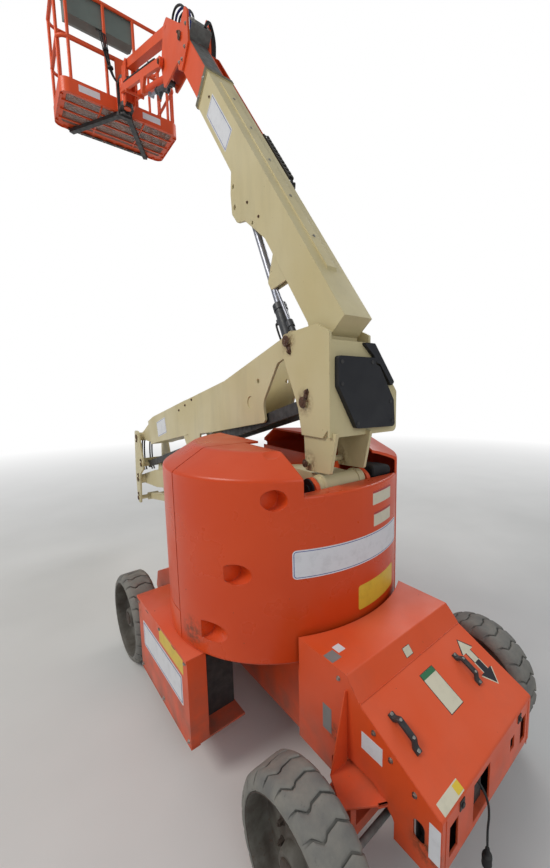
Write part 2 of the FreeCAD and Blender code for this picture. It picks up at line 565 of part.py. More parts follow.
def make_tower():
    length, elevation = span(pivot_lower_boom, pivot_knuckle_low)
    half = lower_boom_depth / 2
    body = arm_box(length, lower_boom_half_width,
                   [(0.0, 50.0, -55.0), (260.0, half - 6.0, -half), (length - 500.0, half, -half),
                    (length, 60.0, -60.0)])
    tail = [hub(0.0, 0.0, 156.0, 55.0), hub(length, 0.0, 140.0, 55.0)]
    for side in (-1, 1):
        centre = side * 118.0
        tail.append(Part.makeCylinder(62.0, 18.0, V(0, centre - 9.0, 0), V(0, 1, 0)))
    base_x, base_z = tower_base
    dx = pivot_lower_boom[0] - base_x
    dz = base_z - pivot_lower_boom[1]
    angle = math.radians(elevation)
    base_s = dx * math.cos(angle) + dz * math.sin(angle)
    base_n = -dx * math.sin(angle) + dz * math.cos(angle)
    ears = []
    for y0 in (-56.0, 44.0):
        ears.append(side_plate([(base_s - 90.0, half - 5.0), (base_s - 30.0, base_n + 36.0, 26.0),
                                (base_s + 30.0, base_n + 36.0, 26.0), (base_s + 90.0, half - 5.0)], y0, y0 + 12.0))
    bores = [hub(0.0, 0.0, 200.0, 30.0 + pin_clearance), hub(length, 0.0, 200.0, arm_pin_radius + pin_clearance)]
    ear_pin = hub(base_s, base_n, 56.0, 18.0)
    boom = fused(body, *tail, *ears, ear_pin).cut(Part.makeCompound(bores))
    save("lower_boom", at_pivot(boom, pivot_lower_boom, elevation), upper=True)

    start = shifted(pivot_lower_boom, lower_link_offset)
    link = fused(block(0, length, -40.0, 40.0, -35.0, 35.0), hub(0.0, 0.0, 60.0, 40.0), hub(length, 0.0, 60.0, 46.0))
    link = link.cut(hub(0.0, 0.0, 90.0, 20.0 + pin_clearance).fuse(hub(length, 0.0, 90.0, arm_pin_radius + pin_clearance)))
    save("lower_link", at_pivot(link, start, elevation), upper=True)

    low_link = shifted(pivot_knuckle_low, lower_link_offset)
    high_link = shifted(pivot_knuckle_high, upper_link_offset)
    outline = [(-3205.0, 1470.0, 50.0), (-3040.0, 1470.0, 50.0), (-2890.0, 1120.0, 50.0), (-2905.0, 1030.0, 40.0),
               (-3080.0, 930.0, 60.0), (-3095.0, 800.0, 40.0), (-3140.0, 550.0, 40.0), (-3260.0, 550.0, 40.0),
               (-3290.0, 900.0, 80.0)]
    cheeks = [side_plate(outline, y0, y0 + knuckle_outer - knuckle_inner) for y0 in (-knuckle_outer, knuckle_inner)]
    pins = [cross_pin(p, knuckle_outer + 8.0, arm_pin_radius)
            for p in (pivot_knuckle_low, low_link, pivot_knuckle_high, high_link)]
    tie = block(-3256.0, -3238.0, -knuckle_inner - 1.0, knuckle_inner + 1.0, 1000.0, 1100.0)
    save("knuckle", fused(cheeks[0], cheeks[1], tie, *pins), upper=True)

    length, elevation = span(pivot_upright, pivot_knuckle_high)
    fork_s = 1760.0
    plate = [(-58.0, -20.0, 40.0), (-50.0, 58.0, 40.0), (90.0, 46.0), (900.0, 20.0), (1900.0, 78.0), (fork_s + 40.0, -240.0),
             (1250.0, -300.0), (430.0, -372.0, 15.0), (405.0, -360.0, 15.0), (400.0, -250.0, 90.0),
             (170.0, -70.0, 40.0), (60.0, -62.0, 40.0)]
    cheeks = [side_plate(plate, y0, y0 + fork_outer - fork_inner) for y0 in (-fork_outer, fork_inner)]
    front = arm_box(length, fork_outer, [(fork_s, 72.0, -238.0), (2850.0, 130.0, -160.0), (3080.0, 120.0, -150.0)])
    nose = arm_box(length, 96.0, [(3050.0, 110.0, -140.0), (length - 90.0, 60.0, -60.0), (length, 50.0, -50.0)])
    lid = arm_box(length, fork_outer, [(1420.0, 50.0, 40.0), (fork_s + 20.0, 70.0, 60.0)])
    hubs = [hub(length, 0.0, 140.0, 50.0)]
    tail = [Part.makeCylinder(58.0, fork_outer - fork_inner, V(0, y0, 0), V(0, 1, 0))
            for y0 in (-fork_outer, fork_inner)]
    eye_x, eye_z = tower_eye
    dx = pivot_upright[0] - eye_x
    dz = eye_z - pivot_upright[1]
    angle = math.radians(elevation)
    eye_s = dx * math.cos(angle) + dz * math.sin(angle)
    eye_n = -dx * math.sin(angle) + dz * math.cos(angle)
    ears = [side_plate([(eye_s - 190.0, -270.0), (eye_s - 60.0, eye_n - 50.0, 40.0), (eye_s + 70.0, eye_n - 50.0, 40.0),
                        (eye_s + 220.0, -225.0)], y0, y0 + fork_outer - fork_inner)
            for y0 in (-fork_outer, fork_inner)]
    bores = [hub(0.0, 0.0, 200.0, arm_pin_radius + pin_clearance), hub(length, 0.0, 200.0, arm_pin_radius + pin_clearance)]
    recess = [Part.makeCylinder(42.0, 6.0, V(560.0, y0, -215.0), V(0, 1, 0)) for y0 in (-fork_outer - 0.5, fork_outer - 5.5)]
    hole = hub(420.0, -110.0, 200.0, 16.0)
    boom = fused(cheeks[0], cheeks[1], front, nose, lid, *hubs, *tail, *ears)
    boom = boom.cut(Part.makeCompound(bores + recess + [hole]))
    save("mid_boom", at_pivot(boom, pivot_upright, elevation), upper=True)

    start = shifted(pivot_upright, upper_link_offset)
    bars = []
    for side in (-1, 1):
        y0, y1 = sorted((side * link_inner, side * link_outer))
        bars.append(block(0, length, y0, y1, -35.0, 35.0))
        for s in (0.0, length):
            bars.append(Part.makeCylinder(44.0, y1 - y0, V(s, y0, 0), V(0, 1, 0)))
    ties = [hub(s, 0.0, link_inner + 1.0, 16.0) for s in (900.0, length - 220.0)]
    holes = [hub(s, 0.0, 120.0, arm_pin_radius + pin_clearance) for s in (0.0, length)]
    link = fused(bars[0], *bars[1:], *ties).cut(Part.makeCompound(holes))
    save("upper_link", at_pivot(link, start, elevation), upper=True)

    make_cylinder("tower", tower_base, tower_eye, 960.0, 39.0, 22.0, 1285.0, 36.0, 34.0)


def make_upright():
    link_pin = shifted(pivot_upright, upper_link_offset)
    plate = [(205.0, 2296.0, 40.0), (519.0, 2321.0, 12.0), (620.0, 2277.0, 8.0), (620.0, 1822.0), (560.0, 1762.0),
             (383.0, 1762.0), (352.0, 1905.0), (205.0, 2195.0, 50.0)]
    tongue = [(383.0, 1790.0), (654.0, 1790.0), (602.0, 1582.0, 12.0), (394.0, 1572.0, 12.0)]
    pieces = []
    for side in (-1, 1):
        y0, y1 = sorted((side * upright_inner, side * upright_outer))
        pieces.append(side_plate(plate, y0, y1))
        y0, y1 = sorted((side * (upright_inner - 16.0), side * (upright_inner + 1.0)))
        pieces.append(side_plate(tongue, y0, y1))
    outline = [(-upright_outer, 2240.0), (150.0, 2240.0, 20.0), (345.0, 1990.0, 20.0), (345.0, 1767.0, 30.0),
               (-upright_outer, 1767.0)]
    rear = cross_section(outline, 602.0, 620.0)
    housing_outer = [(upright_inner + 4.0, 2240.0), (150.0, 2240.0, 20.0), (345.0, 1990.0, 20.0), (345.0, 1767.0, 30.0),
                     (upright_inner + 4.0, 1767.0)]
    housing_inner = [(upright_outer, 2228.0), (144.0, 2228.0), (333.0, 1986.0), (333.0, 1779.0),
                     (upright_outer, 1779.0)]
    housing = cross_section(housing_outer, 440.0, 603.0).cut(cross_section(housing_inner, 430.0, 610.0))
    pins = [cross_pin(pivot_lift_base, upright_outer + 6.0, 16.0),
            cross_pin(pivot_boom, upright_outer, 30.0),
            cross_pin(level_base, level_y + 12.0, 9.0, -upright_inner - 1.0)]
    for side in (-1, 1):
        for pivot, inner in ((pivot_upright, fork_inner - 2.0), (link_pin, link_inner - 2.0)):
            y0, y1 = sorted((side * inner, side * (upright_outer + 10.0)))
            pins.append(cross_pin(pivot, y1, arm_pin_radius, y0))
    save("upright", fused(pieces[0], *pieces[1:], rear, housing, *pins), upper=True)

    cover = cross_section([(-105.0, 2164.0, 16.0), (140.0, 2163.0, 12.0), (150.0, 2130.0, 8.0), (176.0, 2120.0, 8.0),
                           (288.0, 1945.0, 16.0), (300.0, 1800.0, 20.0), (15.0, 1806.0, 16.0), (-105.0, 2017.0, 10.0)],
                          620.3, 652.0)
    small = cross_section([(66.0, 2236.0, 6.0), (148.0, 2236.0, 12.0), (300.0, 2040.0, 10.0), (276.0, 2020.0, 6.0),
                           (186.0, 2132.0, 6.0), (158.0, 2140.0, 6.0), (140.0, 2175.0, 6.0)], 620.3, 644.0)
    save("upright_covers", Part.makeCompound([cover, small]), upper=True)


def make_main_boom():
    top = boom_under + boom_depth
    half = boom_half_width
    tube = block(boom_rear_s, boom_mouth_s, -half, half, boom_under, top)
    hollow = block(320.0, boom_mouth_s + 10.0, -half + boom_wall, half - boom_wall, boom_under + boom_wall,
                   top - boom_wall)
    ridge = side_plate([(340.0, top - 1.0), (360.0, top + 10.0, 4.0), (2200.0, top + 10.0, 4.0), (2220.0, top - 1.0)],
                       -30.0, 30.0)
    collar = block(boom_mouth_s - 44.0, boom_mouth_s, -half - 8.0, half + 8.0, boom_under - 8.0, top + 8.0)
    boss = hub(0.0, 0.0, half, 58.0)
    heel = side_plate([(-40.0, -40.0), (-56.0, 12.0), (boom_rear_s, 78.0), (200.0, 120.0), (200.0, boom_under),
                       (60.0, -56.0)], -half, half)
    bracket = [(862.0, boom_under + 2.0), (1150.0, -100.0, 30.0), (1230.0, -170.0, 30.0), (1330.0, -180.0, 30.0),
               (1440.0, -110.0, 40.0), (1530.0, boom_under + 2.0)]
    level = [(520.0, boom_under + 2.0), (600.0, level_eye[1] - 28.0, 20.0), (660.0, level_eye[1] - 28.0, 20.0),
             (740.0, boom_under + 2.0)]
    cheeks = []
    for side in (-1, 1):
        y0, y1 = sorted((side * (half - 16.0), side * half))
        cheeks.append(side_plate(bracket, y0, y1))
        y0 = -level_y - 4.0 + side * 15.0
        cheeks.append(side_plate(level, y0, y0 + 8.0))
    body = fused(tube.cut(hollow), ridge, collar.cut(hollow), boss, heel, *cheeks)
    pads = []
    fly_top = top - boom_wall - fly_gap
    fly_low = boom_under + boom_wall + fly_gap
    reach = half - boom_wall
    for s in (boom_mouth_s - 100.0, boom_mouth_s - 900.0):
        pads.append(block(s, s + 60.0, -40.0, 40.0, fly_top + 0.3, top - boom_wall + 1.0))
        pads.append(block(s, s + 60.0, -40.0, 40.0, boom_under + boom_wall - 1.0, fly_low - 0.3))
        for side in (-1, 1):
            y0, y1 = sorted((side * (reach - fly_gap + 0.3), side * (reach + 1.0)))
            pads.append(block(s, s + 60.0, y0, y1, 60.0, 140.0))
    holes = [hub(0.0, 0.0, 200.0, 31.0)]
    for s, n, r in ((1440.0, -60.0, 14.0), (1330.0, -130.0, 16.0), (1060.0, -50.0, 10.0)):
        holes.append(hub(s, n, 200.0, r))
    save("main_boom", at_pivot(fused(body, *pads).cut(Part.makeCompound(holes)), pivot_boom, boom_rest), upper=True)

    fly_half = reach - fly_gap
    beam = block(fly_tail_s, fly_end_s, -fly_half, fly_half, fly_low, fly_top)
    cavity = block(fly_tail_s - 10.0, fly_end_s + 10.0, -fly_half + boom_wall, fly_half - boom_wall,
                   fly_low + boom_wall, fly_top - boom_wall)
    head_s = boom_mouth_s + fly_stroke_in + 12.0
    head = [(head_s, fly_low + 4.0, 20.0), (2890.0, -24.0, 30.0), (3030.0, 40.0, 50.0), (3066.0, 150.0, 40.0),
            (3040.0, 318.0, 16.0), (2975.0, 322.0, 20.0), (head_s, fly_top - 4.0, 20.0)]
    cheeks = []
    for side in (-1, 1):
        y0, y1 = sorted((side * (fly_half - 0.5), side * (fly_half + 14.0)))
        cheeks.append(side_plate(head, y0, y1))
    tip_pin = hub(tip_pivot_s, tip_pivot_n, fly_half + 20.0, 25.0)
    fly = fused(beam.cut(cavity), cheeks[0], cheeks[1], tip_pin)
    save("fly_boom", at_pivot(fly, pivot_boom, boom_rest), upper=True)

    # the tray rides with the fly along the boom's far side, where arm coordinates have -y
    tray_end = fly_end_s - 20.0
    tray_out = block(1330.0, tray_end, -176.0, -104.0, 60.0, 170.0)
    tray_in = block(1320.0, tray_end - 8.0, -168.0, -112.0, 68.0, 180.0)
    foot = block(head_s + 4.0, tray_end - 4.0, -105.0, -fly_half - 14.0 - seat_gap, 80.0, 150.0)
    save("track_tray", at_pivot(fused(tray_out.cut(tray_in), foot), pivot_boom, boom_rest), upper=True)
    low_run = block(1240.0, tray_end - 20.0, -158.0, -122.0, 68.0 + seat_gap, 94.0 + seat_gap)
    high_run = block(1240.0, 1700.0, -158.0, -122.0, 182.0, 208.0)
    centre = (182.0 + 94.0 + seat_gap) / 2
    outer = Part.makeCylinder(208.0 - centre, 36.0, V(1240.0, -158.0, centre), V(0, 1, 0))
    inner = Part.makeCylinder(182.0 - centre, 60.0, V(1240.0, -170.0, centre), V(0, 1, 0))
    bend = outer.cut(inner).common(block(1000.0, 1240.0, -200.0, -100.0, 0.0, 300.0))
    save("track_chain", at_pivot(fused(low_run, high_run, bend), pivot_boom, boom_rest), upper=True)

    eye = along_arm(pivot_boom, boom_rest, lift_eye[0], lift_eye[1])
    make_cylinder("lift", pivot_lift_base, eye, 1000.0, 40.0, 24.0, 950.0, 32.0, 30.0)
    eye = along_arm(pivot_boom, boom_rest, level_eye[0], level_eye[1])
    make_cylinder("level", level_base, eye, 300.0, 17.0, 9.0, 380.0, 18.0, 9.0, level_y)


def make_jib():
    tip = along_arm(pivot_boom, boom_rest, tip_pivot_s, tip_pivot_n)
    high = shifted(jib_pivot_low, jib_link_offset)
    cylinder_base = shifted(jib_pivot_low, jib_cylinder_offset)
    outline = [(tip[0] + 50.0, tip[1] - 50.0, 40.0), (tip[0] + 50.0, tip[1] + 50.0, 40.0),
               (high[0] + 40.0, high[1] + 50.0, 40.0), (high[0] - 50.0, high[1] + 40.0, 40.0),
               (jib_pivot_low[0] - 50.0, jib_pivot_low[1], 40.0),
               (cylinder_base[0] - 40.0, cylinder_base[1] - 45.0, 35.0),
               (cylinder_base[0] + 60.0, cylinder_base[1] - 50.0, 35.0), (tip[0] - 90.0, tip[1] - 60.0, 40.0)]
    cheeks = [side_plate(outline, y0, y0 + 12.0) for y0 in (-54.0, 42.0)]
    sleeve = cross_pin(tip, 72.0, 38.0)
    pins = [cross_pin(high, 56.0, 16.0), cross_pin(cylinder_base, 54.0, 11.0),
            *both_sides(cross_pin(jib_pivot_low, 92.0, 16.0, 43.0))]
    web = block(tip[0] - 260.0, tip[0] - 245.0, -43.0, 43.0, tip[1] - 40.0, tip[1] + 60.0)
    base = fused(cheeks[0], cheeks[1], sleeve, web, *pins).cut(cross_pin(tip, 120.0, 26.0))
    save("jib_base", base, upper=True)

    bars = []
    for side in (-1, 1):
        y0, y1 = sorted((side * 62.0, side * 88.0))
        bars.append(block(0.0, jib_length, y0, y1, -34.0, 34.0))
        for s in (0.0, jib_length):
            bars.append(Part.makeCylinder(40.0, y1 - y0, V(s, y0, 0), V(0, 1, 0)))
        bars.append(side_plate([(475.0, -30.0), (520.0, jib_eye[1] - 24.0, 22.0),
                                (570.0, jib_eye[1] - 24.0, 22.0), (615.0, -30.0)], y0, y1))
    tie = hub(1180.0, -46.0, 88.0, 14.0)
    holes = [hub(s, 0.0, 120.0, 16.0 + pin_clearance) for s in (0.0, jib_length)]
    arms = fused(bars[0], *bars[1:], tie, block(1160.0, 1200.0, 62.0, 88.0, -50.0, 0.0),
                 block(1160.0, 1200.0, -88.0, -62.0, -50.0, 0.0))
    save("jib_lower_arms", at_pivot(arms.cut(Part.makeCompound(holes)), jib_pivot_low, jib_rest), upper=True)

    beam = fused(block(0.0, jib_length, -35.0, 35.0, -42.0, 42.0), hub(0.0, 0.0, 36.0, 46.0),
                 hub(jib_length, 0.0, 36.0, 46.0))
    save("jib_upper_arm", at_pivot(beam.cut(Part.makeCompound(holes)), high, jib_rest), upper=True)

    low_end = along_arm(jib_pivot_low, jib_rest, jib_length, 0.0)
    high_end = shifted(low_end, jib_link_offset)
    outline = [(high_end[0] + 45.0, high_end[1] + 45.0, 40.0), (rotator_x + 70.0, high_end[1] + 45.0),
               (rotator_x + 70.0, platform_floor_height - 40.0), (low_end[0] + 20.0, platform_floor_height - 40.0, 20.0),
               (low_end[0] + 48.0, low_end[1] - 30.0, 30.0)]
    cheeks = [side_plate(outline, y0, y0 + 12.0) for y0 in (-54.0, 42.0)]
    pins = [cross_pin(high_end, 56.0, 16.0), *both_sides(cross_pin(low_end, 92.0, 16.0, 43.0))]
    floor = platform_floor_height
    back = block(rotator_x + 56.0, rotator_x + 76.0, -54.0, 54.0, floor + 30.0, floor + 260.0)
    barrel = Part.makeCylinder(66.0, 230.0, V(rotator_x, 0, floor + 30.0))
    post = Part.makeCylinder(36.0, 330.0, V(rotator_x, 0, floor - 20.0))
    save("platform_support", fused(cheeks[0], cheeks[1], back, barrel, post, *pins), upper=True)

    cylinder_eye = along_arm(jib_pivot_low, jib_rest, jib_eye[0], jib_eye[1])
    make_cylinder("jib", cylinder_base, cylinder_eye, 420.0, 26.0, 13.0, 425.0, 22.0, 24.0)


def rail_loop(x0, x1, y0, y1, z, bend, radius):
    corners = [(x0, y0, bend), (x1, y0, bend), (x1, y1, bend), (x0, y1, bend)]
    path = rounded_wire(corners, lambda u, v: V(u, v, z))
    edge = path.Edges[1]
    point = edge.valueAt(edge.FirstParameter)
    tangent = edge.tangentAt(edge.FirstParameter)
    ring = Part.Wire(Part.makeCircle(radius, point, tangent))
    ordered = Part.Wire(list(path.Edges[1:]) + [path.Edges[0]])
    return ordered.makePipeShell([ring], True, True)


def make_platform():
    floor = platform_floor_height
    near = platform_near_x
    far = near - platform_depth
    half = platform_length / 2
    inset = rail_radius
    x0, x1 = far + inset, near - inset
    y0, y1 = -half + inset, half - inset
    pieces = []
    for height in (rail_height, mid_rail_height):
        pieces.append(rail_loop(x0, x1, y0, y1, floor + height, 90.0, rail_radius))
    posts = [(x0 + 90.0, y0), (x0 + 90.0, y1), (x1 - 90.0, y0), (x1 - 90.0, y1), (x0, y0 + 90.0), (x0, y1 - 90.0),
             (x1, y0 + 90.0), (x1, y1 - 90.0), (x0, 0.0), (x1, -150.0), (x1, 150.0)]
    for x, y in posts:
        pieces.append(Part.makeCylinder(rail_radius - 3.0, rail_height, V(x, y, floor)))
    band = 5.0
    outer = plan_plate([(far, -half, 90.0), (near, -half, 90.0), (near, half, 90.0), (far, half, 90.0)],
                       floor, floor + kick_height)
    inner = plan_plate([(far + band, -half + band, 85.0), (near - band, -half + band, 85.0),
                        (near - band, half - band, 85.0), (far + band, half - band, 85.0)],
                       floor - 5.0, floor + kick_height + 5.0)
    kick = outer.cut(inner)
    frame = fused(kick, *pieces)
    gate_y0 = y1 - 60.0
    gate_gap = block(x0 + 112.0, x1 - 112.0, gate_y0, half + 60.0, floor + kick_height + 1.0, floor + rail_height + 60.0)
    posts_cut = frame.cut(gate_gap)
    pedestal = block(near - 4.0, near + 16.0, -70.0, 70.0, floor + 20.0, floor + mid_rail_height + 10.0)
    sill = block(x0 + 90.0, x0 + 148.0, y1 - 12.0, y1 + 12.0, floor + 190.0, floor + 204.0 - seat_gap)
    whole = fused(posts_cut, pedestal, sill)
    # the frame comes as four flat sides that meet at the middle of each corner
    out, deep, slit = 100.0, 200.0, 0.2
    corners = [(far, -half, -1, -1), (near, -half, 1, -1), (near, half, 1, 1), (far, half, -1, 1)]
    sides = []
    for i, shift in enumerate(((0, -slit), (slit, 0), (0, slit), (-slit, 0))):
        ends = (corners[i], corners[(i + 1) % 4])
        wedge = [(x + sx * out, y + sy * out) for x, y, sx, sy in ends]
        wedge += [(x - sx * deep, y - sy * deep) for x, y, sx, sy in reversed(ends)]
        zone = plan_plate(wedge, floor - 100.0, floor + rail_height + 100.0)
        zone.translate(V(shift[0], shift[1], 0))
        sides.append(whole.common(zone))
    save("platform_frame", Part.makeCompound([solid for side in sides for solid in side.Solids]), upper=True)

    gate_x0, gate_x1 = x0 + 134.0, x1 - 134.0
    rails = []
    for height in (rail_height, mid_rail_height, 220.0):
        rails.append(rod(V(gate_x0, y1, floor + height), V(gate_x1, y1, floor + height), rail_radius - 3.0))
    for x in (gate_x0, gate_x1):
        rails.append(rod(V(x, y1, floor + 204.0), V(x, y1, floor + rail_height + 10.0), rail_radius - 3.0))
    save("platform_gate", fused(rails[0], *rails[1:]), upper=True)

    grid = block(far + band + 0.3, near - band - 0.3, -half + 90.0, half - 90.0, floor + 14.0, floor + 20.0)
    ends = plan_plate([(far + band + 0.3, -half + band + 0.3, 84.0), (near - band - 0.3, -half + band + 0.3, 84.0),
                       (near - band - 0.3, half - band - 0.3, 84.0), (far + band + 0.3, half - band - 0.3, 84.0)],
                      floor + 14.0, floor + 20.0)
    ribs = []
    for x in (near - 200.0, near - 380.0, near - 560.0):
        ribs.append(block(x - 10.0, x + 10.0, -half + 30.0, half - 30.0, floor, floor + 14.0))
    around_posts = [Part.makeCylinder(rail_radius - 2.4, 60.0, V(x, y, floor - 10.0)) for x, y in posts]
    save("platform_floor", fused(ends, grid, *ribs).cut(Part.makeCompound(around_posts)), upper=True)

    arms = []
    for end_y in (-440.0, 400.0):
        start = V(rotator_x - 60.0, 0, floor - 42.0)
        end = V(far + 20.0, end_y, floor - 42.0)
        axis = end - start
        beam = block(0.0, axis.Length, -26.0, 26.0, 0.0, 40.0)
        beam.rotate(V(0, 0, 0), V(0, 0, 1), math.degrees(math.atan2(axis.y, axis.x)))
        beam.translate(start)
        arms.append(beam)
    strip = block(far + 2.0, far + 48.0, -470.0, 430.0, floor - 8.0, floor - 1.7)
    for i in range(6):
        strip = strip.cut(Part.makeCylinder(18.0, 30.0, V(far + 25.0, -330.0 + i * 120.0, floor - 20.0)))
    rings = []
    for z0 in (floor + 30.0 - seat_gap - 40.0, floor + 260.0 + seat_gap):
        plate = plan_plate([(near + 0.7, -66.0), (rotator_x + 40.0, -66.0, 60.0), (rotator_x + 40.0, 66.0, 60.0),
                            (near + 0.7, 66.0)], z0, z0 + 40.0)
        plate.translate(V(16.0, 0, 0))
        rings.append(plate)
    web = block(near + 16.3, near + 46.0, -70.0, 70.0, floor - 56.0, floor + 300.0)
    gusset = block(near - 20.0, near + 46.0, -70.0, 70.0, floor - 56.0, floor - 16.0)
    under = fused(arms[0], arms[1], *rings, web, gusset)
    under = under.cut(Part.makeCylinder(37.0, 500.0, V(rotator_x, 0, floor - 100.0)))
    save("platform_underframe", fused(under, strip), upper=True)

    tray = block(near - 310.0, near - 45.0, -500.0, 150.0, floor + 820.0, floor + rail_height + 20.0)
    slope = side_plate([(near - 330.0, floor + 780.0), (near - 180.0, floor + 820.0), (near - 330.0, floor + 900.0)],
                       -520.0, 200.0)
    cavity = block(near - 296.0, near - 60.0, -486.0, 136.0, floor + 900.0, floor + rail_height + 40.0)
    hook = block(near - 60.0, near - inset + 2.0, -420.0, -380.0, floor + rail_height + rail_radius + 0.3,
                 floor + rail_height + rail_radius + 8.0)
    save("control_console", fused(tray.cut(slope).cut(cavity), hook), upper=True)


make_chassis_frame()
make_front_hood()
make_hood_handles()
make_front_axle()
make_steer_knuckles()
make_wheels()
make_rear_axle()
make_battery_boxes()
make_rear_cover()
make_charger_cord()
make_turntable()
make_tower()
make_upright()
make_main_boom()
make_jib()
make_platform()
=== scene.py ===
import math
import random

import bmesh
import bpy
from mathutils import Matrix, Vector


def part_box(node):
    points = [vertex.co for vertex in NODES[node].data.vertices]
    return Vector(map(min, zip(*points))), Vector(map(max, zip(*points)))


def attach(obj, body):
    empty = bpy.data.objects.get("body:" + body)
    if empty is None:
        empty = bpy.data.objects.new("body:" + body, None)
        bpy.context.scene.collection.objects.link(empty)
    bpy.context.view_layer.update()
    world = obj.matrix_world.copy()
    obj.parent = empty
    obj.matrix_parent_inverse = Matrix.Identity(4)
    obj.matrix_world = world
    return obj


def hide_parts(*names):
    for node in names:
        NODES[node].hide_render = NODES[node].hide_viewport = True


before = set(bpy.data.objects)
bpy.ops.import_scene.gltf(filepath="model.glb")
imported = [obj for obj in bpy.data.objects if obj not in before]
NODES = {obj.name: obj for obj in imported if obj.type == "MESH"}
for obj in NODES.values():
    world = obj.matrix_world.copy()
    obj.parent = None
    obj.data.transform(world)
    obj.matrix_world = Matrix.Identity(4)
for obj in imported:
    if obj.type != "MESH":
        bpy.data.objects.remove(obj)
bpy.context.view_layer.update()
SCENE = bpy.context.scene
rng = random.Random(7)

# Frames. Metres, +X is the steered end, +Z up. The swing at rest turns the turntable and all above it.
SWING = math.radians(-2.2)
CHASSIS = Matrix.Identity(4)
UPPER = Matrix.Rotation(SWING, 4, "Z")


def arm_frame(pivot, elevation):
    """Frame of an arm from its lower pivot: x along it, y to its right side, z up from it."""
    along = Vector((-math.cos(elevation), 0, math.sin(elevation)))
    above = Vector((math.sin(elevation), 0, math.cos(elevation)))
    turn = Matrix((along, above.cross(along), above)).transposed().to_4x4()
    return UPPER @ Matrix.Translation((pivot[0], 0, pivot[1])) @ turn


def rise(start, end):
    return math.atan2(end[1] - start[1], start[0] - end[0])


def arm_eye(place, s, n):
    """(x, z) in the boom plane of a point of an arm, from its place along and above the arm."""
    point = UPPER.inverted() @ place @ Vector((s, 0, n))
    return point.x, point.z


# Pivots, x and z in the boom plane
PIVOT_LOWER = (0.511, 1.505)
PIVOT_KNUCKLE_LOW = (-3.150, 0.860)
PIVOT_KNUCKLE_HIGH = (-3.100, 1.400)
PIVOT_UPRIGHT = (0.262, 2.259)
PIVOT_BOOM = (0.520, 2.200)
PIVOT_LIFT = (0.420, 1.615)
PIVOT_JIB = (-1.740, 4.790)
PIVOT_TOWER_RAM = (-2.600, 1.130)
PIVOT_TOWER_EYE = (-1.280, 1.380)
PIVOT_JIB_RAM = (PIVOT_JIB[0] + 0.040, PIVOT_JIB[1] - 0.150)
PIN_UPPER_LINK = (PIVOT_UPRIGHT[0] + 0.149, PIVOT_UPRIGHT[1] - 0.324)

MIDDLE = arm_frame(PIVOT_UPRIGHT, rise(PIVOT_UPRIGHT, PIVOT_KNUCKLE_HIGH))
BOOM = arm_frame(PIVOT_BOOM, math.radians(52.0))
JIB = arm_frame(PIVOT_JIB, math.radians(20.5))
LIFT = arm_frame(PIVOT_LIFT, rise(PIVOT_LIFT, arm_eye(BOOM, 1.265, -0.104)))
TOWER = arm_frame(PIVOT_TOWER_RAM, rise(PIVOT_TOWER_RAM, PIVOT_TOWER_EYE))
JIB_RAM = arm_frame(PIVOT_JIB_RAM, rise(PIVOT_JIB_RAM, arm_eye(JIB, 0.545, -0.130)))
PIN_TIP = arm_eye(BOOM, 3.005, 0.150)

# Sizes that the dressing shares with the frame
TYRE_RADIUS = 0.3175
DRUM_RADIUS = 0.705
HOOD_SIDE = 0.377
BOX_SIDE = 0.746
HOOD_TOP_END = (0.954, 0.841)
HOOD_FOLD = (1.031, 0.761)
HOOD_NOSE = (1.413, 0.579)
HOOD_FALL = Vector((HOOD_NOSE[0] - HOOD_FOLD[0], 0, HOOD_NOSE[1] - HOOD_FOLD[1])).normalized()
BOOM_HALF = 0.090
FLOOR_HEIGHT = 5.200
PLATFORM_NEAR = -3.350
PLATFORM_DEPTH = 0.760
PLATFORM_LENGTH = 1.220


# Node graphs

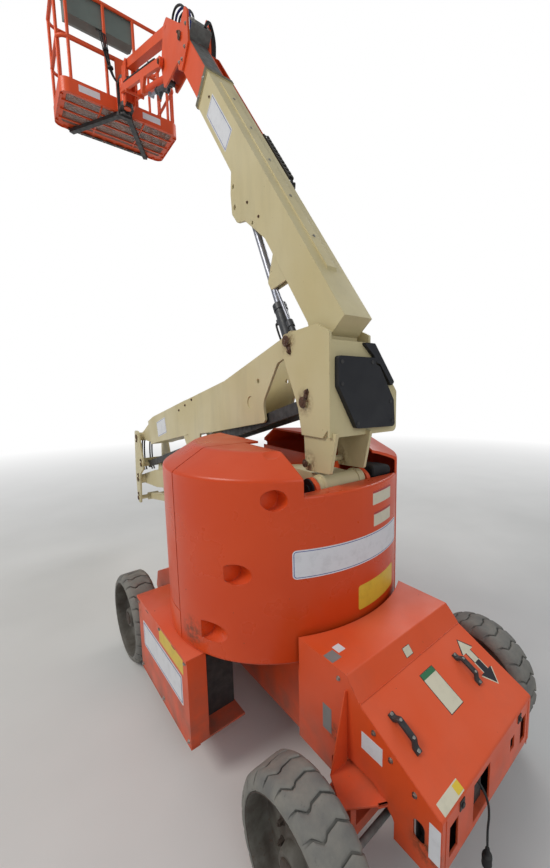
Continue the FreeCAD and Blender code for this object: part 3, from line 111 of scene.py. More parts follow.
class Graph:
    """Short calls for building one material."""

    def __init__(self, name):
        self.material = bpy.data.materials.new(name)
        self.material.use_nodes = True
        self.tree = self.material.node_tree
        self.tree.nodes.clear()
        self.output = self.node("ShaderNodeOutputMaterial")
        self.shader = self.node("ShaderNodeBsdfPrincipled")
        self.link(self.shader.outputs[0], self.output.inputs["Surface"])
        self.place = self.node("ShaderNodeTexCoord").outputs["Object"]

    def node(self, kind, **settings):
        made = self.tree.nodes.new(kind)
        for key, value in settings.items():
            setattr(made, key, value)
        return made

    def link(self, source, target):
        self.tree.links.new(source, target)

    def feed(self, target, value):
        if isinstance(value, bpy.types.NodeSocket):
            self.link(value, target)
        else:
            target.default_value = value

    def noise(self, scale, detail=3.0, rough=0.5, stretch=None):
        vector = self.place
        if stretch:
            mapping = self.node("ShaderNodeMapping")
            self.link(self.place, mapping.inputs["Vector"])
            mapping.inputs["Scale"].default_value = stretch
            vector = mapping.outputs[0]
        made = self.node("ShaderNodeTexNoise")
        for name, number in (("Scale", scale), ("Detail", detail), ("Roughness", rough)):
            made.inputs[name].default_value = number
        self.link(vector, made.inputs["Vector"])
        return made.outputs["Fac"]

    def ramp(self, value, low, high, out_low=0.0, out_high=1.0):
        made = self.node("ShaderNodeMapRange", clamp=True)
        self.link(value, made.inputs["Value"])
        for name, number in (("From Min", low), ("From Max", high), ("To Min", out_low), ("To Max", out_high)):
            made.inputs[name].default_value = number
        return made.outputs[0]

    def patches(self, scale, detail, low, high, least=0.0, most=1.0, rough=0.5, stretch=None):
        """Noise that rises from the least to the most between two of its levels."""
        return self.ramp(self.noise(scale, detail, rough, stretch), low, high, least, most)

    def math(self, operation, a, b):
        made = self.node("ShaderNodeMath", operation=operation)
        self.feed(made.inputs[0], a)
        self.feed(made.inputs[1], b)
        return made.outputs[0]

    def times(self, a, b):
        return self.math("MULTIPLY", a, b)

    def mix(self, amount, a, b):
        made = self.node("ShaderNodeMix", data_type="RGBA")
        self.feed(made.inputs["Factor"], amount)
        for socket, value in ((made.inputs[6], a), (made.inputs[7], b)):
            self.feed(socket, value if isinstance(value, bpy.types.NodeSocket) else (*value, 1.0))
        return made.outputs[2]

    def height_of(self, vector, low, high):
        split = self.node("ShaderNodeSeparateXYZ")
        self.link(vector, split.inputs[0])
        return self.ramp(split.outputs["Z"], low, high)

    def dust(self, scale, least, amount):
        """Film on the faces that look up."""
        normal = self.node("ShaderNodeNewGeometry").outputs["Normal"]
        film = self.times(self.height_of(normal, 0.35, 0.95), self.patches(scale, 5.0, 0.30, 0.75, least))
        return self.times(film, amount)

    def edges(self, radius):
        """1 on convex edges and 0 on flat faces, and the bevelled normal that this comes from."""
        bevel = self.node("ShaderNodeBevel", samples=4)
        bevel.inputs["Radius"].default_value = radius
        geometry = self.node("ShaderNodeNewGeometry")
        dot = self.node("ShaderNodeVectorMath", operation="DOT_PRODUCT")
        self.link(bevel.outputs[0], dot.inputs[0])
        self.link(geometry.outputs["Normal"], dot.inputs[1])
        return self.ramp(dot.outputs["Value"], 0.99, 0.82), bevel.outputs[0]

    def near(self, point, radius):
        """1 at a point of the part and 0 beyond the radius."""
        distance = self.node("ShaderNodeVectorMath", operation="DISTANCE")
        self.link(self.place, distance.inputs[0])
        distance.inputs[1].default_value = point
        return self.ramp(distance.outputs["Value"], radius, radius * 0.35)

    def bump(self, height, strength, distance, normal=None):
        made = self.node("ShaderNodeBump")
        made.inputs["Strength"].default_value = strength
        made.inputs["Distance"].default_value = distance
        self.link(height, made.inputs["Height"])
        if normal is not None:
            self.link(normal, made.inputs["Normal"])
        self.link(made.outputs[0], self.shader.inputs["Normal"])

    def finish(self, colour, roughness, metallic=0.0, specular=0.5):
        self.feed(self.shader.inputs["Base Color"], colour)
        self.feed(self.shader.inputs["Roughness"], roughness)
        self.shader.inputs["Metallic"].default_value = metallic
        self.shader.inputs["Specular IOR Level"].default_value = specular
        return self.material


RUST = (0.115, 0.040, 0.014)
GRIME = (0.105, 0.088, 0.070)
PAINT_DUST = (0.62, 0.54, 0.44)
PLASTIC_DUST = (0.36, 0.34, 0.30)
SOFT_SHEEN = 0.36


def shade(colour, share, lift):
    return tuple(min(c * share + lift, 1.0) for c in colour)


def paint_material(name, colour, faded, chip, rust_points=(), gloss=0.36, dirt=0.30, wear=0.55, dust=0.08):
    """Sprayed enamel: slow fading, orange peel, grime low down, dust on top, chips and rust at edges and pins."""
    g = Graph(name)
    base = g.mix(g.patches(1.7, 4.0, 0.35, 0.68), colour, faded)
    smear = g.patches(5.0, 6.0, 0.50, 0.80, 0.0, dirt, 0.62, (1.0, 1.0, 0.22))
    base = g.mix(smear, base, shade(colour, 0.45, 0.03))
    low = g.times(g.height_of(g.place, 0.62, 0.12), g.patches(9.0, 5.0, 0.35, 0.75, 0.1, 0.85))
    base = g.mix(low, base, GRIME)
    base = g.mix(g.dust(3.2, 0.15, dust), base, PAINT_DUST)
    scratch = g.patches(26.0, 3.0, 0.735, 0.76, rough=0.6, stretch=(1.0, 1.0, 7.0))
    scratch = g.times(scratch, g.patches(2.3, 2.0, 0.52, 0.66, 0.0, 0.5))
    base = g.mix(scratch, base, shade(faded, 1.25, 0.10))
    rim, rounded = g.edges(0.004)
    chips = g.times(rim, g.patches(31.0, 6.0, 0.56, 0.63, 0.0, wear, 0.7))
    worn = g.math("MAXIMUM", chips, g.patches(64.0, 2.0, 0.775, 0.80, 0.0, 0.8))
    base = g.mix(worn, base, chip)
    for point, radius in rust_points:
        stain = g.times(g.near(point, radius), g.patches(38.0, 5.0, 0.38, 0.66, rough=0.7))
        base = g.mix(stain, base, RUST)
    peel = g.math("ADD", g.times(g.noise(340.0, 2.0), 0.25), g.times(worn, -0.7))
    g.bump(peel, 0.35, 0.0007, rounded)
    rough = g.math("ADD", g.patches(4.0, 4.0, 0.3, 0.7, gloss - 0.06, gloss + 0.12), g.times(worn, 0.3))
    return g.finish(base, rough, 0.0, SOFT_SHEEN)


def metal_material(name, colour, dark, roughness, metallic):
    g = Graph(name)
    base = g.mix(g.patches(22.0, 5.0, 0.35, 0.70, rough=0.6), colour, dark)
    rounded = g.edges(0.0015)[1]
    g.bump(g.noise(210.0), 0.25, 0.0004, rounded)
    return g.finish(base, g.patches(30.0, 4.0, 0.3, 0.7, roughness * 0.8, roughness * 1.35), metallic)


def plastic_material(name, colour, roughness, grain, dust, edge):
    g = Graph(name)
    base = g.mix(g.patches(6.0, 5.0, 0.35, 0.75, 0.0, 0.6), colour, shade(colour, 0.7, 0.012))
    base = g.mix(g.dust(5.0, 0.1, dust), base, PLASTIC_DUST)
    scuffs = g.patches(44.0, 4.0, 0.70, 0.74, 0.0, 0.35, 0.7, (1.0, 1.0, 4.0))
    base = g.mix(scuffs, base, (0.17, 0.17, 0.16))
    rounded = g.edges(edge)[1]
    g.bump(g.noise(grain, 2.0), 0.30, 0.0005, rounded)
    rough = g.patches(9.0, 4.0, 0.3, 0.7, roughness - 0.08, roughness + 0.1)
    return g.finish(base, rough, 0.0, SOFT_SHEEN)


def plate_material(name, colour, stain):
    """Printed film: flat colour, a little dirt and curl, and a satin face."""
    g = Graph(name)
    base = g.mix(g.patches(19.0, 6.0, 0.48, 0.76, 0.0, stain, 0.65), colour, shade(colour, 0.55, 0.01))
    base = g.mix(g.patches(90.0, 3.0, 0.74, 0.78, 0.0, 0.5), base, (0.12, 0.09, 0.07))
    g.bump(g.noise(60.0), 0.2, 0.0006)
    return g.finish(base, 0.42)


def tyre_material():
    """Pale grey solid rubber with darker patches, scars and a dusty foot."""
    g = Graph("tyre_rubber")
    base = g.mix(g.patches(14.0, 6.0, 0.32, 0.70, rough=0.6), (0.158, 0.155, 0.146), (0.240, 0.228, 0.200))
    base = g.mix(g.patches(55.0, 5.0, 0.62, 0.72, 0.0, 0.6, 0.7), base, (0.075, 0.073, 0.066))
    base = g.mix(g.patches(30.0, 4.0, 0.69, 0.73, 0.0, 0.5, 0.65, (0.5, 3.0, 3.0)), base, (0.30, 0.29, 0.26))
    base = g.mix(g.times(g.height_of(g.place, 0.10, 0.0), 0.5), base, (0.20, 0.17, 0.13))
    g.bump(g.noise(120.0, 6.0, 0.65), 0.55, 0.0018)
    return g.finish(base, 0.88)


def rim_material():
    g = Graph("rim_paint_and_shade")
    # Dark brown grey: grime on the rim, and also painted shade in its deep dish, darker than its own paint.
    base = g.mix(g.patches(11.0, 6.0, 0.38, 0.64, rough=0.6), (0.120, 0.112, 0.094), (0.060, 0.047, 0.036))
    base = g.mix(g.patches(34.0, 5.0, 0.60, 0.68, 0.0, 0.8, 0.7), base, (0.072, 0.032, 0.017))
    rim, rounded = g.edges(0.003)
    base = g.mix(g.times(rim, 0.40), base, (0.24, 0.23, 0.22))
    g.bump(g.noise(150.0, 5.0, 0.6), 0.4, 0.0009, rounded)
    return g.finish(base, 0.62)


def rust_material():
    g = Graph("rusted_steel")
    base = g.mix(g.patches(48.0, 6.0, 0.36, 0.64, rough=0.65), (0.150, 0.072, 0.040), (0.062, 0.034, 0.024))
    base = g.mix(g.patches(95.0, 4.0, 0.58, 0.66, 0.0, 0.6), base, (0.26, 0.21, 0.17))
    g.bump(g.noise(170.0, 6.0, 0.7), 0.7, 0.0012)
    return g.finish(base, 0.78, 0.35)


def chrome_material():
    g = Graph("chromed_rod")
    base = g.mix(g.patches(9.0, 3.0, 0.4, 0.7), (0.36, 0.37, 0.42), (0.22, 0.24, 0.30))
    g.bump(g.noise(70.0, 2.0, 0.5, (1.0, 1.0, 9.0)), 0.08, 0.0004)
    return g.finish(base, 0.34, 0.45)


def mesh_floor_material():
    g = Graph("floor_mesh_paint")
    base = g.mix(g.patches(13.0, 5.0, 0.36, 0.66), (0.300, 0.150, 0.105), (0.150, 0.105, 0.085))
    g.bump(g.noise(150.0, 4.0), 0.3, 0.0006)
    return g.finish(base, 0.6)


def upper_point(x, y, z):
    return tuple(UPPER @ Vector((x, y, z)))


ORANGE = ((0.720, 0.080, 0.013), (0.755, 0.094, 0.024))
# deeper orange of the drum and its covers: partly their own deeper hue, partly painted shade
DRUM_ORANGE_AND_SHADE = ((0.640, 0.057, 0.007), (0.680, 0.072, 0.012))
CREAM = ((0.575, 0.484, 0.256), (0.625, 0.548, 0.335))
# rust stains: middle and radius
CORNER_RUST = (((-0.610, -0.70, 0.60), 0.10), ((0.88, -0.377, 0.52), 0.06), ((1.35, -0.377, 0.42), 0.08))
DRUM_RUST = ((upper_point(0.17, -0.68, 0.78), 0.10),)
UPRIGHT_RUST = [(upper_point(x, side * 0.137, z), 0.085)
                for side in (-1, 1) for x, z in (PIVOT_UPRIGHT, PIN_UPPER_LINK, PIVOT_LIFT)]

# colour, darker patches, roughness, metallic share
METALS = {
    "black_steel": ((0.020, 0.020, 0.022), (0.052, 0.048, 0.044), 0.55, 0.0),
    "grey_steel": ((0.180, 0.182, 0.175), (0.105, 0.100, 0.092), 0.6, 0.4),
    "cylinder_paint": ((0.030, 0.034, 0.042), (0.060, 0.062, 0.068), 0.42, 0.0),
    "worn_steel": ((0.090, 0.062, 0.046), (0.045, 0.036, 0.031), 0.66, 0.3),
    "zinc": ((0.46, 0.45, 0.42), (0.24, 0.22, 0.19), 0.42, 1.0),
    # dark olive for the boom's collar: a painted shade
    "olive_paint": ((0.165, 0.150, 0.082), (0.100, 0.085, 0.050), 0.5, 0.0),
}
# colour, roughness, scale of the grain, dust, edge radius
PLASTICS = {
    "black_plastic": ((0.012, 0.013, 0.017), 0.5, 460.0, 0.06, 0.004),
    "grey_plastic": ((0.170, 0.205, 0.185), 0.5, 460.0, 0.2, 0.004),
    "black_rubber": ((0.018, 0.018, 0.019), 0.62, 260.0, 0.2, 0.001),
    "blue_rubber": ((0.020, 0.035, 0.190), 0.5, 260.0, 0.2, 0.001),
    "red_plastic": ((0.420, 0.022, 0.016), 0.4, 460.0, 0.2, 0.004),
    "track_plastic": ((0.060, 0.056, 0.048), 0.6, 460.0, 0.5, 0.001),
}
# colour, stains
PLATES = {
    "white_plate": ((0.72, 0.73, 0.76), 0.35),
    "cream_plate": ((0.64, 0.60, 0.46), 0.35),
    "yellow_plate": ((0.72, 0.51, 0.045), 0.35),
    "blue_line": ((0.022, 0.045, 0.26), 0.2),
    "green_band": ((0.030, 0.165, 0.070), 0.2),
    "red_band": ((0.42, 0.032, 0.026), 0.2),
    "black_film": ((0.018, 0.018, 0.024), 0.15),
    "grey_film": ((0.22, 0.22, 0.215), 0.5),
}
MATERIALS = {
    "orange_paint": paint_material("orange_paint", *ORANGE, (0.070, 0.046, 0.034), CORNER_RUST, dirt=0.22),
    # the covers and the counterweight wear the deeper orange, which is partly painted shade
    "orange_cover": paint_material("orange_cover", *DRUM_ORANGE_AND_SHADE, (0.20, 0.16, 0.12), gloss=0.30, dirt=0.12,
                                   wear=0.25, dust=0.07),
    "cream_paint": paint_material("cream_paint", *CREAM, (0.10, 0.055, 0.030), UPRIGHT_RUST, gloss=0.42),
    "counterweight_paint": paint_material("counterweight_paint", *DRUM_ORANGE_AND_SHADE, (0.055, 0.045, 0.040), DRUM_RUST,
                                          gloss=0.28, dirt=0.10, wear=0.8, dust=0.07),
    "chrome_rod": chrome_material(),
    "grey_tyre": tyre_material(),
    "rim_paint_and_shade": rim_material(),
    "rust": rust_material(),
    "mesh_floor": mesh_floor_material(),
}
for build, table in ((metal_material, METALS), (plastic_material, PLASTICS), (plate_material, PLATES)):
    for name, values in table.items():
        MATERIALS[name] = build(name, *values)

NODE_FINISH = {
    "orange_paint": ("chassis_frame", "front_hood", "front_axle", "battery_boxes", "rear_cover", "fly_boom",
                     "jib_base", "jib_lower_arms", "jib_upper_arm", "platform_support", "platform_frame",
                     "platform_gate", "turntable_frame", "steer_knuckle_left", "steer_knuckle_right", "track_tray"),
    "orange_cover": ("turntable_hood_left", "turntable_hood_right"),
    "counterweight_paint": ("counterweight",),
    "cream_paint": ("lower_boom", "lower_link", "knuckle", "mid_boom", "upright", "main_boom"),
    "black_steel": ("upper_link", "hood_handles", "battery_packs", "rear_axle", "platform_underframe",
                    "power_modules", "charger_unit"),
    "grey_steel": ("tie_rod", "steer_cylinder"),
    "chrome_rod": ("tower_rod", "lift_rod", "level_rod", "jib_rod"),
    "cylinder_paint": ("tower_cylinder", "lift_cylinder", "level_cylinder", "jib_cylinder"),
    "grey_tyre": ("tyre_front_left", "tyre_front_right", "tyre_rear_left", "tyre_rear_right"),
    "rim_paint_and_shade": ("rim_front_left", "rim_front_right", "rim_rear_left", "rim_rear_right"),
    "black_plastic": ("upright_covers", "track_chain"),
    "grey_plastic": ("control_console",),
    "black_rubber": ("charger_cord", "charger_plug"),
    "mesh_floor": ("platform_floor",),
}


def dress_frame():
    for finish, names in NODE_FINISH.items():
        for name in names:
            slots = NODES[name].data.materials
            slots.clear()
            slots.append(MATERIALS[finish])


# Mesh code

def circle(radius, sides, z=0.0):
    return [(radius * math.cos(2 * math.pi * i / sides), radius * math.sin(2 * math.pi * i / sides), z)
            for i in range(sides)]


def turned(section, sides):
    """Rings of a form turned round z, from its radii and heights."""
    return [circle(radius, sides, z) for radius, z in section]


def hoop(centre, side, other, radius, sides):
    return [centre + side * x + other * y for x, y, _ in circle(radius, sides)]


def loft(outline, levels):
    """The same outline, a list of points, moved by each level."""
    return [[point + level for point in outline] for level in levels]


def place_in_scene(name, data):
    placed = bpy.data.objects.new(name, data)
    SCENE.collection.objects.link(placed)
    return placed


class Shape:
    """Closed forms collected into one mesh, drawn in a frame and kept in the part's own place."""

    def __init__(self, place=CHASSIS):
        self.place = place
        self.mesh = bmesh.new()

    def add(self, points, faces):
        corners = [self.mesh.verts.new(self.place @ Vector(p)) for p in points]
        for face in faces:
            self.mesh.faces.new([corners[i] for i in face])

    def rows(self, rings, caps=True):
        """Skin through rings of equal length."""
        count = len(rings[0])
        points = [p for ring in rings for p in ring]
        faces = []
        for i in range(len(rings) - 1):
            for j in range(count):
                k = (j + 1) % count
                faces.append((i * count + j, i * count + k, (i + 1) * count + k, (i + 1) * count + j))
        if caps:
            faces.append(tuple(range(count - 1, -1, -1)))
            faces.append(tuple(range((len(rings) - 1) * count, len(rings) * count)))
        self.add(points, faces)

    def band(self, loops):
        """Closed hoop through loops that come round to the first again."""
        self.rows(loops + [loops[0]], caps=False)

    def block(self, low, high, bevel=0.0):
        """Box between two corners, its upright edges and rims bevelled."""
        b = min(bevel, *(abs(h - l) * 0.45 for l, h in zip(low, high)))
        levels = [(low[2], 0), (high[2], 0)]
        if b:
            levels = [(low[2], b), (low[2] + b, 0.0), (high[2] - b, 0.0), (high[2], b)]
        rings = []
        for z, inset in levels:
            x0, x1, y0, y1 = low[0] + inset, high[0] - inset, low[1] + inset, high[1] - inset
            ring = [(x0, y0, z), (x1, y0, z), (x1, y1, z), (x0, y1, z)]
            if b:
                ring = [(x0 + b, y0, z), (x1 - b, y0, z), (x1, y0 + b, z), (x1, y1 - b, z), (x1 - b, y1, z),
                        (x0 + b, y1, z), (x0, y1 - b, z), (x0, y0 + b, z)]
            rings.append(ring)
        self.rows(rings)

    def side_block(self, side, x, y, z, bevel):
        """Block on one side of the machine, from its spans on the side where y is positive."""
        y0, y1 = sorted((side * y[0], side * y[1]))
        self.block((x[0], y0, z[0]), (x[1], y1, z[1]), bevel)

    def rod(self, start, end, radius, sides=16, end_radius=None, rim=0.0):
        """Round bar, with a small chamfer at both ends."""
        start, end = Vector(start), Vector(end)
        axis = (end - start).normalized()
        side = axis.orthogonal().normalized()
        other = axis.cross(side)
        last = radius if end_radius is None else end_radius
        stations = [(start, radius), (end, last)]
        if rim:
            stations = [(start, radius - rim), (start + axis * rim, radius), (end - axis * rim, last),
                        (end, last - rim)]
        self.rows([hoop(centre, side, other, r, sides) for centre, r in stations])

    def ring(self, centre, axis, outer, inner, depth, sides=24):
        """Flat washer, starting at the centre and growing along the axis."""
        centre, axis = Vector(centre), Vector(axis).normalized()
        side = axis.orthogonal().normalized()
        other = axis.cross(side)
        self.band([hoop(centre + axis * shift, side, other, r, sides)
                   for r, shift in ((inner, 0.0), (outer, 0.0), (outer, depth), (inner, depth))])

    def tube(self, points, radius, sides=8):
        """Round tube of one size along a list of points."""
        points = [Vector(p) for p in points]
        rings = []
        guide = None
        for before, here, after in zip(points[:1] + points, points, points[1:] + points[-1:]):
            tangent = (after - before).normalized()
            if guide is None:
                guide = tangent.orthogonal().normalized()
            guide = (guide - tangent * guide.dot(tangent)).normalized()
            rings.append(hoop(here, guide, tangent.cross(guide), radius, sides))
        self.rows(rings)

    def bolt(self, seat, axis, across, height):
        """Hexagon head on its washer."""
        seat, axis = Vector(seat), Vector(axis).normalized()
        self.rod(seat, seat + axis * 0.002, across * 0.78, 14)
        self.rod(seat + axis * 0.002, seat + axis * (0.002 + height), across * 0.56, 6, across * 0.53)

    def done(self, name, finish, body, slot, stands_for=None, smooth_angle=38.0):
        """Make the piece: what finish it wears, what body it rides on, and the node it stands for. The slot is not
        used.
        """
        bmesh.ops.remove_doubles(self.mesh, verts=self.mesh.verts, dist=1e-6)
        bmesh.ops.recalc_face_normals(self.mesh, faces=self.mesh.faces)
        data = bpy.data.meshes.new(name)
        self.mesh.to_mesh(data)
        self.mesh.free()
        for polygon in data.polygons:
            polygon.use_smooth = True
        data.set_sharp_from_angle(angle=math.radians(smooth_angle))
        data.materials.append(MATERIALS[finish])
        piece = place_in_scene(name, data)
        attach(piece, body)
        if stands_for:
            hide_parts(stands_for)
        return piece


def smooth_path(points, steps):
    """Points on a curve through the given points."""
    points = [Vector(p) for p in points]
    path = []
    for p0, p1, p2, p3 in zip(points[:1] + points, points, points[1:], points[2:] + points[-1:]):
        for k in range(steps):
            t = k / steps
            path.append(0.5 * ((2 * p1) + (p2 - p0) * t + (2 * p0 - 5 * p1 + 4 * p2 - p3) * t * t
                               + (3 * p1 - p0 - 3 * p2 + p3) * t ** 3))
    return path + points[-1:]


# Camera, light and floor

CAMERA_AT = (1.969, -1.351, 2.023)
CAMERA_HEADING = math.radians(136.38)
CAMERA_PITCH = math.radians(-7.1)
CAMERA_ROLL = math.radians(-0.1)
PHOTO_SIZE = (550, 868)
FOCAL_PIXELS = 376.0
CENTRE_PIXEL = (345.0, 432.1)
WHITE = (1.0, 1.0, 1.0)
SKY = (0.92, 0.96, 1.0)
SKY_STRENGTH = 0.40
FLOOR_REACH = 60.0
FLOOR_FADE = (4.5, 13.0)
FLOOR_GREYS = ((0.66, 0.655, 0.64), (0.70, 0.695, 0.68))
# name, place, target, size, power, colour
LAMPS = (("key", (-2.5, -7.5, 9.0), (-1.0, 0.0, 1.8), 4.0, 500.0, (1.0, 0.97, 0.92)),
         ("fill", (6.5, -1.5, 5.0), (0.0, 0.0, 1.2), 5.0, 105.0, (0.95, 0.98, 1.0)),
         ("back", (-3.0, 7.5, 7.5), (-1.5, 0.0, 2.0), 5.0, 230.0, WHITE))


def make_camera():
    data = bpy.data.cameras.new("camera")
    data.sensor_fit = "AUTO"
    data.sensor_width = 36.0
    longest = max(PHOTO_SIZE)
    data.lens = FOCAL_PIXELS / longest * data.sensor_width
    data.shift_x = (PHOTO_SIZE[0] / 2 - CENTRE_PIXEL[0]) / longest
    data.shift_y = (CENTRE_PIXEL[1] - PHOTO_SIZE[1] / 2) / longest
    data.clip_start = 0.05
    camera = place_in_scene("camera", data)
    level = math.cos(CAMERA_PITCH)
    ahead = Vector((level * math.cos(CAMERA_HEADING), level * math.sin(CAMERA_HEADING), math.sin(CAMERA_PITCH)))
    right = ahead.cross(Vector((0, 0, 1))).normalized()
    turn = Matrix((right, right.cross(ahead), -ahead)).transposed().to_4x4()
    camera.matrix_world = Matrix.Translation(CAMERA_AT) @ turn @ Matrix.Rotation(CAMERA_ROLL, 4, "Z")
    SCENE.camera = camera


def make_world():
    """Plain pale light all round, seen as white by the camera."""
    world = bpy.data.worlds.new("world")
    SCENE.world = world
    world.use_nodes = True
    tree = world.node_tree
    tree.nodes.clear()
    output = tree.nodes.new("ShaderNodeOutputWorld")
    path = tree.nodes.new("ShaderNodeLightPath")
    seen = tree.nodes.new("ShaderNodeMath")
    seen.operation = "MAXIMUM"
    mix = tree.nodes.new("ShaderNodeMixShader")
    for index, ray in enumerate(("Is Camera Ray", "Is Transmission Ray")):
        tree.links.new(path.outputs[ray], seen.inputs[index])
    tree.links.new(seen.outputs[0], mix.inputs[0])
    for index, (colour, strength) in enumerate(((SKY, SKY_STRENGTH), (WHITE, 1.0))):
        light = tree.nodes.new("ShaderNodeBackground")
        light.inputs["Color"].default_value = (*colour, 1.0)
        light.inputs["Strength"].default_value = strength
        tree.links.new(light.outputs[0], mix.inputs[index + 1])
    tree.links.new(mix.outputs[0], output.inputs[0])


def make_floor():
    """Pale floor that glows white with distance where it is seen."""
    g = Graph("stage_floor")
    far = g.node("ShaderNodeVectorMath", operation="LENGTH")
    g.link(g.place, far.inputs[0])
    fade = g.ramp(far.outputs["Value"], *FLOOR_FADE)
    g.finish(g.mix(g.patches(1.3, 3.0, 0.3, 0.7), *FLOOR_GREYS), 0.85)
    g.bump(g.noise(240.0, 2.0), 0.15, 0.0006)
    glow = g.node("ShaderNodeEmission")
    glow.inputs["Strength"].default_value = 1.0
    path = g.node("ShaderNodeLightPath")
    seen = g.math("MAXIMUM", path.outputs["Is Camera Ray"], path.outputs["Is Glossy Ray"])
    seen = g.math("MAXIMUM", seen, path.outputs["Is Transmission Ray"])
    mix = g.node("ShaderNodeMixShader")
    g.link(g.times(seen, fade), mix.inputs[0])
    g.link(g.shader.outputs[0], mix.inputs[1])
    g.link(glow.outputs[0], mix.inputs[2])
    g.link(mix.outputs[0], g.output.inputs["Surface"])
    data = bpy.data.meshes.new("stage_floor")
    corners = [(x * FLOOR_REACH, y * FLOOR_REACH, 0) for x, y in ((-1, -1), (1, -1), (1, 1), (-1, 1))]
    data.from_pydata(corners, [], [(0, 1, 2, 3)])
    data.materials.append(g.material)
    place_in_scene("stage_floor", data)


def make_lamps():
    for name, place, target, size, power, colour in LAMPS:
        data = bpy.data.lights.new(name, "AREA")
        data.shape = "DISK"
        data.size = size
        data.energy = power
        data.color = colour
        lamp = place_in_scene(name, data)
        lamp.location = place
        lamp.rotation_euler = (Vector(target) - Vector(place)).to_track_quat("-Z", "Y").to_euler()
    SCENE.view_settings.view_transform = "Standard"


# Cord

# route of the short hanging cord, x, y, z in metres
CORD_ROUTE = ((1.3880, -0.095, 0.505), (1.420, -0.095, 0.480), (1.442, -0.096, 0.440), (1.448, -0.098, 0.392),
              (1.446, -0.101, 0.345), (1.447, -0.103, 0.300), (1.449, -0.102, 0.257))
CORD_DIAMETER = 0.009
# plug turned round its own axis: radius, height over the cord's end
PLUG_SECTION = ((0.0066, 0.0), (0.0075, -0.010), (0.0108, -0.026), (0.0185, -0.032), (0.0200, -0.040),
                (0.0190, -0.060), (0.0200, -0.070), (0.0188, -0.076))


def make_cord():
    data = bpy.data.curves.new("charger_lead", "CURVE")
    data.dimensions = "3D"
    spline = data.splines.new("NURBS")
    spline.points.add(len(CORD_ROUTE) - 1)
    for point, place in zip(spline.points, CORD_ROUTE):
        point.co = (*place, 1.0)
    spline.order_u = 3
    spline.use_endpoint_u = True
    spline.resolution_u = 12
    data.bevel_depth = CORD_DIAMETER / 2
    data.bevel_resolution = 5
    data.use_fill_caps = True
    data.materials.append(MATERIALS["black_rubber"])
    lead = place_in_scene("charger_lead", data)
    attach(lead, "chassis")
    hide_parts("charger_cord")

    foot = Matrix.Translation(Vector(CORD_ROUTE[-1]))
    plug = Shape(foot)
    plug.rows(turned(PLUG_SECTION, 24))
    for i in range(5):
        plug.ring((0, 0, -0.004 - i * 0.0045), (0, 0, -1), 0.0085 + i * 0.0005, 0.0055, 0.0022, 16)
    plug = plug.done("charger_plug_body", "black_rubber", "chassis", "black_rubber", "charger_plug")
    blades = Shape(foot)
    for y in (-0.007, 0.007):
        blades.block((-0.003, y - 0.0009, -0.095), (0.003, y + 0.0009, -0.075), 0.0006)
    blades = blades.done("charger_plug_blades", "zinc", "chassis", "grey_steel")

    relief = Shape()
    relief.rod((1.3835, -0.095, 0.5063), (1.401, -0.095, 0.4937), 0.010, 16, 0.0062, 0.001)
    relief.ring((1.3838, -0.095, 0.5061), (0.811, 0.0, -0.585), 0.0135, 0.0045, 0.004, 20)
    relief.done("charger_relief", "black_rubber", "chassis", "black_rubber")


# Wheels. In a wheel's frame z runs along the axle, outwards.

WHEELS = ("front_left", "front_right", "rear_left", "rear_right")
WHEEL_SIDES = 88
TREAD_PITCHES = 22
# lateral groove across the tread: offset across in metres, shift round in pitches
GROOVE = ((-0.088, 0.02), (-0.062, 0.18), (-0.034, 0.44), (-0.020, 0.42), (0.012, 0.38), (0.024, 0.26),
          (0.038, 0.24), (0.062, 0.56), (0.088, 0.62))
GROOVE_HALF = 0.0052
GROOVE_DEPTH = 0.0130
# crown of the blocks: offset across, radius
CROWN = ((-0.088, 0.276), (-0.084, 0.292), (-0.076, 0.3040), (-0.062, 0.3168), (-0.034, 0.3175), (0.034, 0.3175),
         (0.062, 0.3168), (0.076, 0.3040), (0.084, 0.292), (0.088, 0.276))
ACROSS = sorted({v for v, _ in GROOVE} | {v for v, _ in CROWN})
# a block along the tread: share of its length, drop at its worn edges
BLOCK_ROUND = ((0.0, 0.0046), (0.05, 0.0020), (0.14, 0.0004), (0.5, 0.0), (0.86, 0.0004), (0.95, 0.0020),
               (1.0, 0.0046))
# half of the carcass: radius, height out along the axle
CARCASS = ((0.2620, -0.0740), (0.2622, -0.0830), (0.2645, -0.0866), (0.2690, -0.0882), (0.2740, -0.0876),
           (0.2800, -0.0850), (0.2900, -0.0785), (0.2985, -0.066), (0.3035, -0.040), (0.3042, 0.0))
# deep rim: radius, height out along the axle, from the outer lip round to the spindle hole
RIM_SECTION = ((0.0001, 0.0620), (0.060, 0.0620), (0.0655, 0.0560), (0.076, 0.0220), (0.110, 0.0020),
               (0.150, 0.0020), (0.172, -0.0020), (0.222, -0.0080), (0.238, -0.0040), (0.2450, 0.0060),
               (0.2480, 0.0200), (0.2490, 0.0640), (0.2520, 0.0780), (0.2555, 0.0850), (0.2600, 0.0855),
               (0.2615, 0.0800), (0.2615, -0.0800), (0.2600, -0.0855), (0.2555, -0.0850), (0.2520, -0.0780),
               (0.2490, -0.0640), (0.2480, -0.0300), (0.2420, -0.0220), (0.222, -0.0200), (0.172, -0.0140),
               (0.110, -0.0120), (0.070, 0.0080), (0.0270, 0.0080), (0.0270, 0.0578), (0.0001, 0.0578))
NUTS = 9
NUT_CIRCLE = 0.128
# washer, nut and stud: foot and top along the axle, radius, sides, radius at the top
NUT_PARTS = ((0.0022, 0.0052, 0.0165, 16, None), (0.0052, 0.0200, 0.0125, 6, 0.0115),
             (0.0200, 0.0270, 0.0068, 10, 0.0055))


def from_table(table, x):
    for (x0, y0), (x1, y1) in zip(table, table[1:]):
        if x <= x1:
            return y0 + (y1 - y0) * (x - x0) / (x1 - x0)
    return table[-1][1]


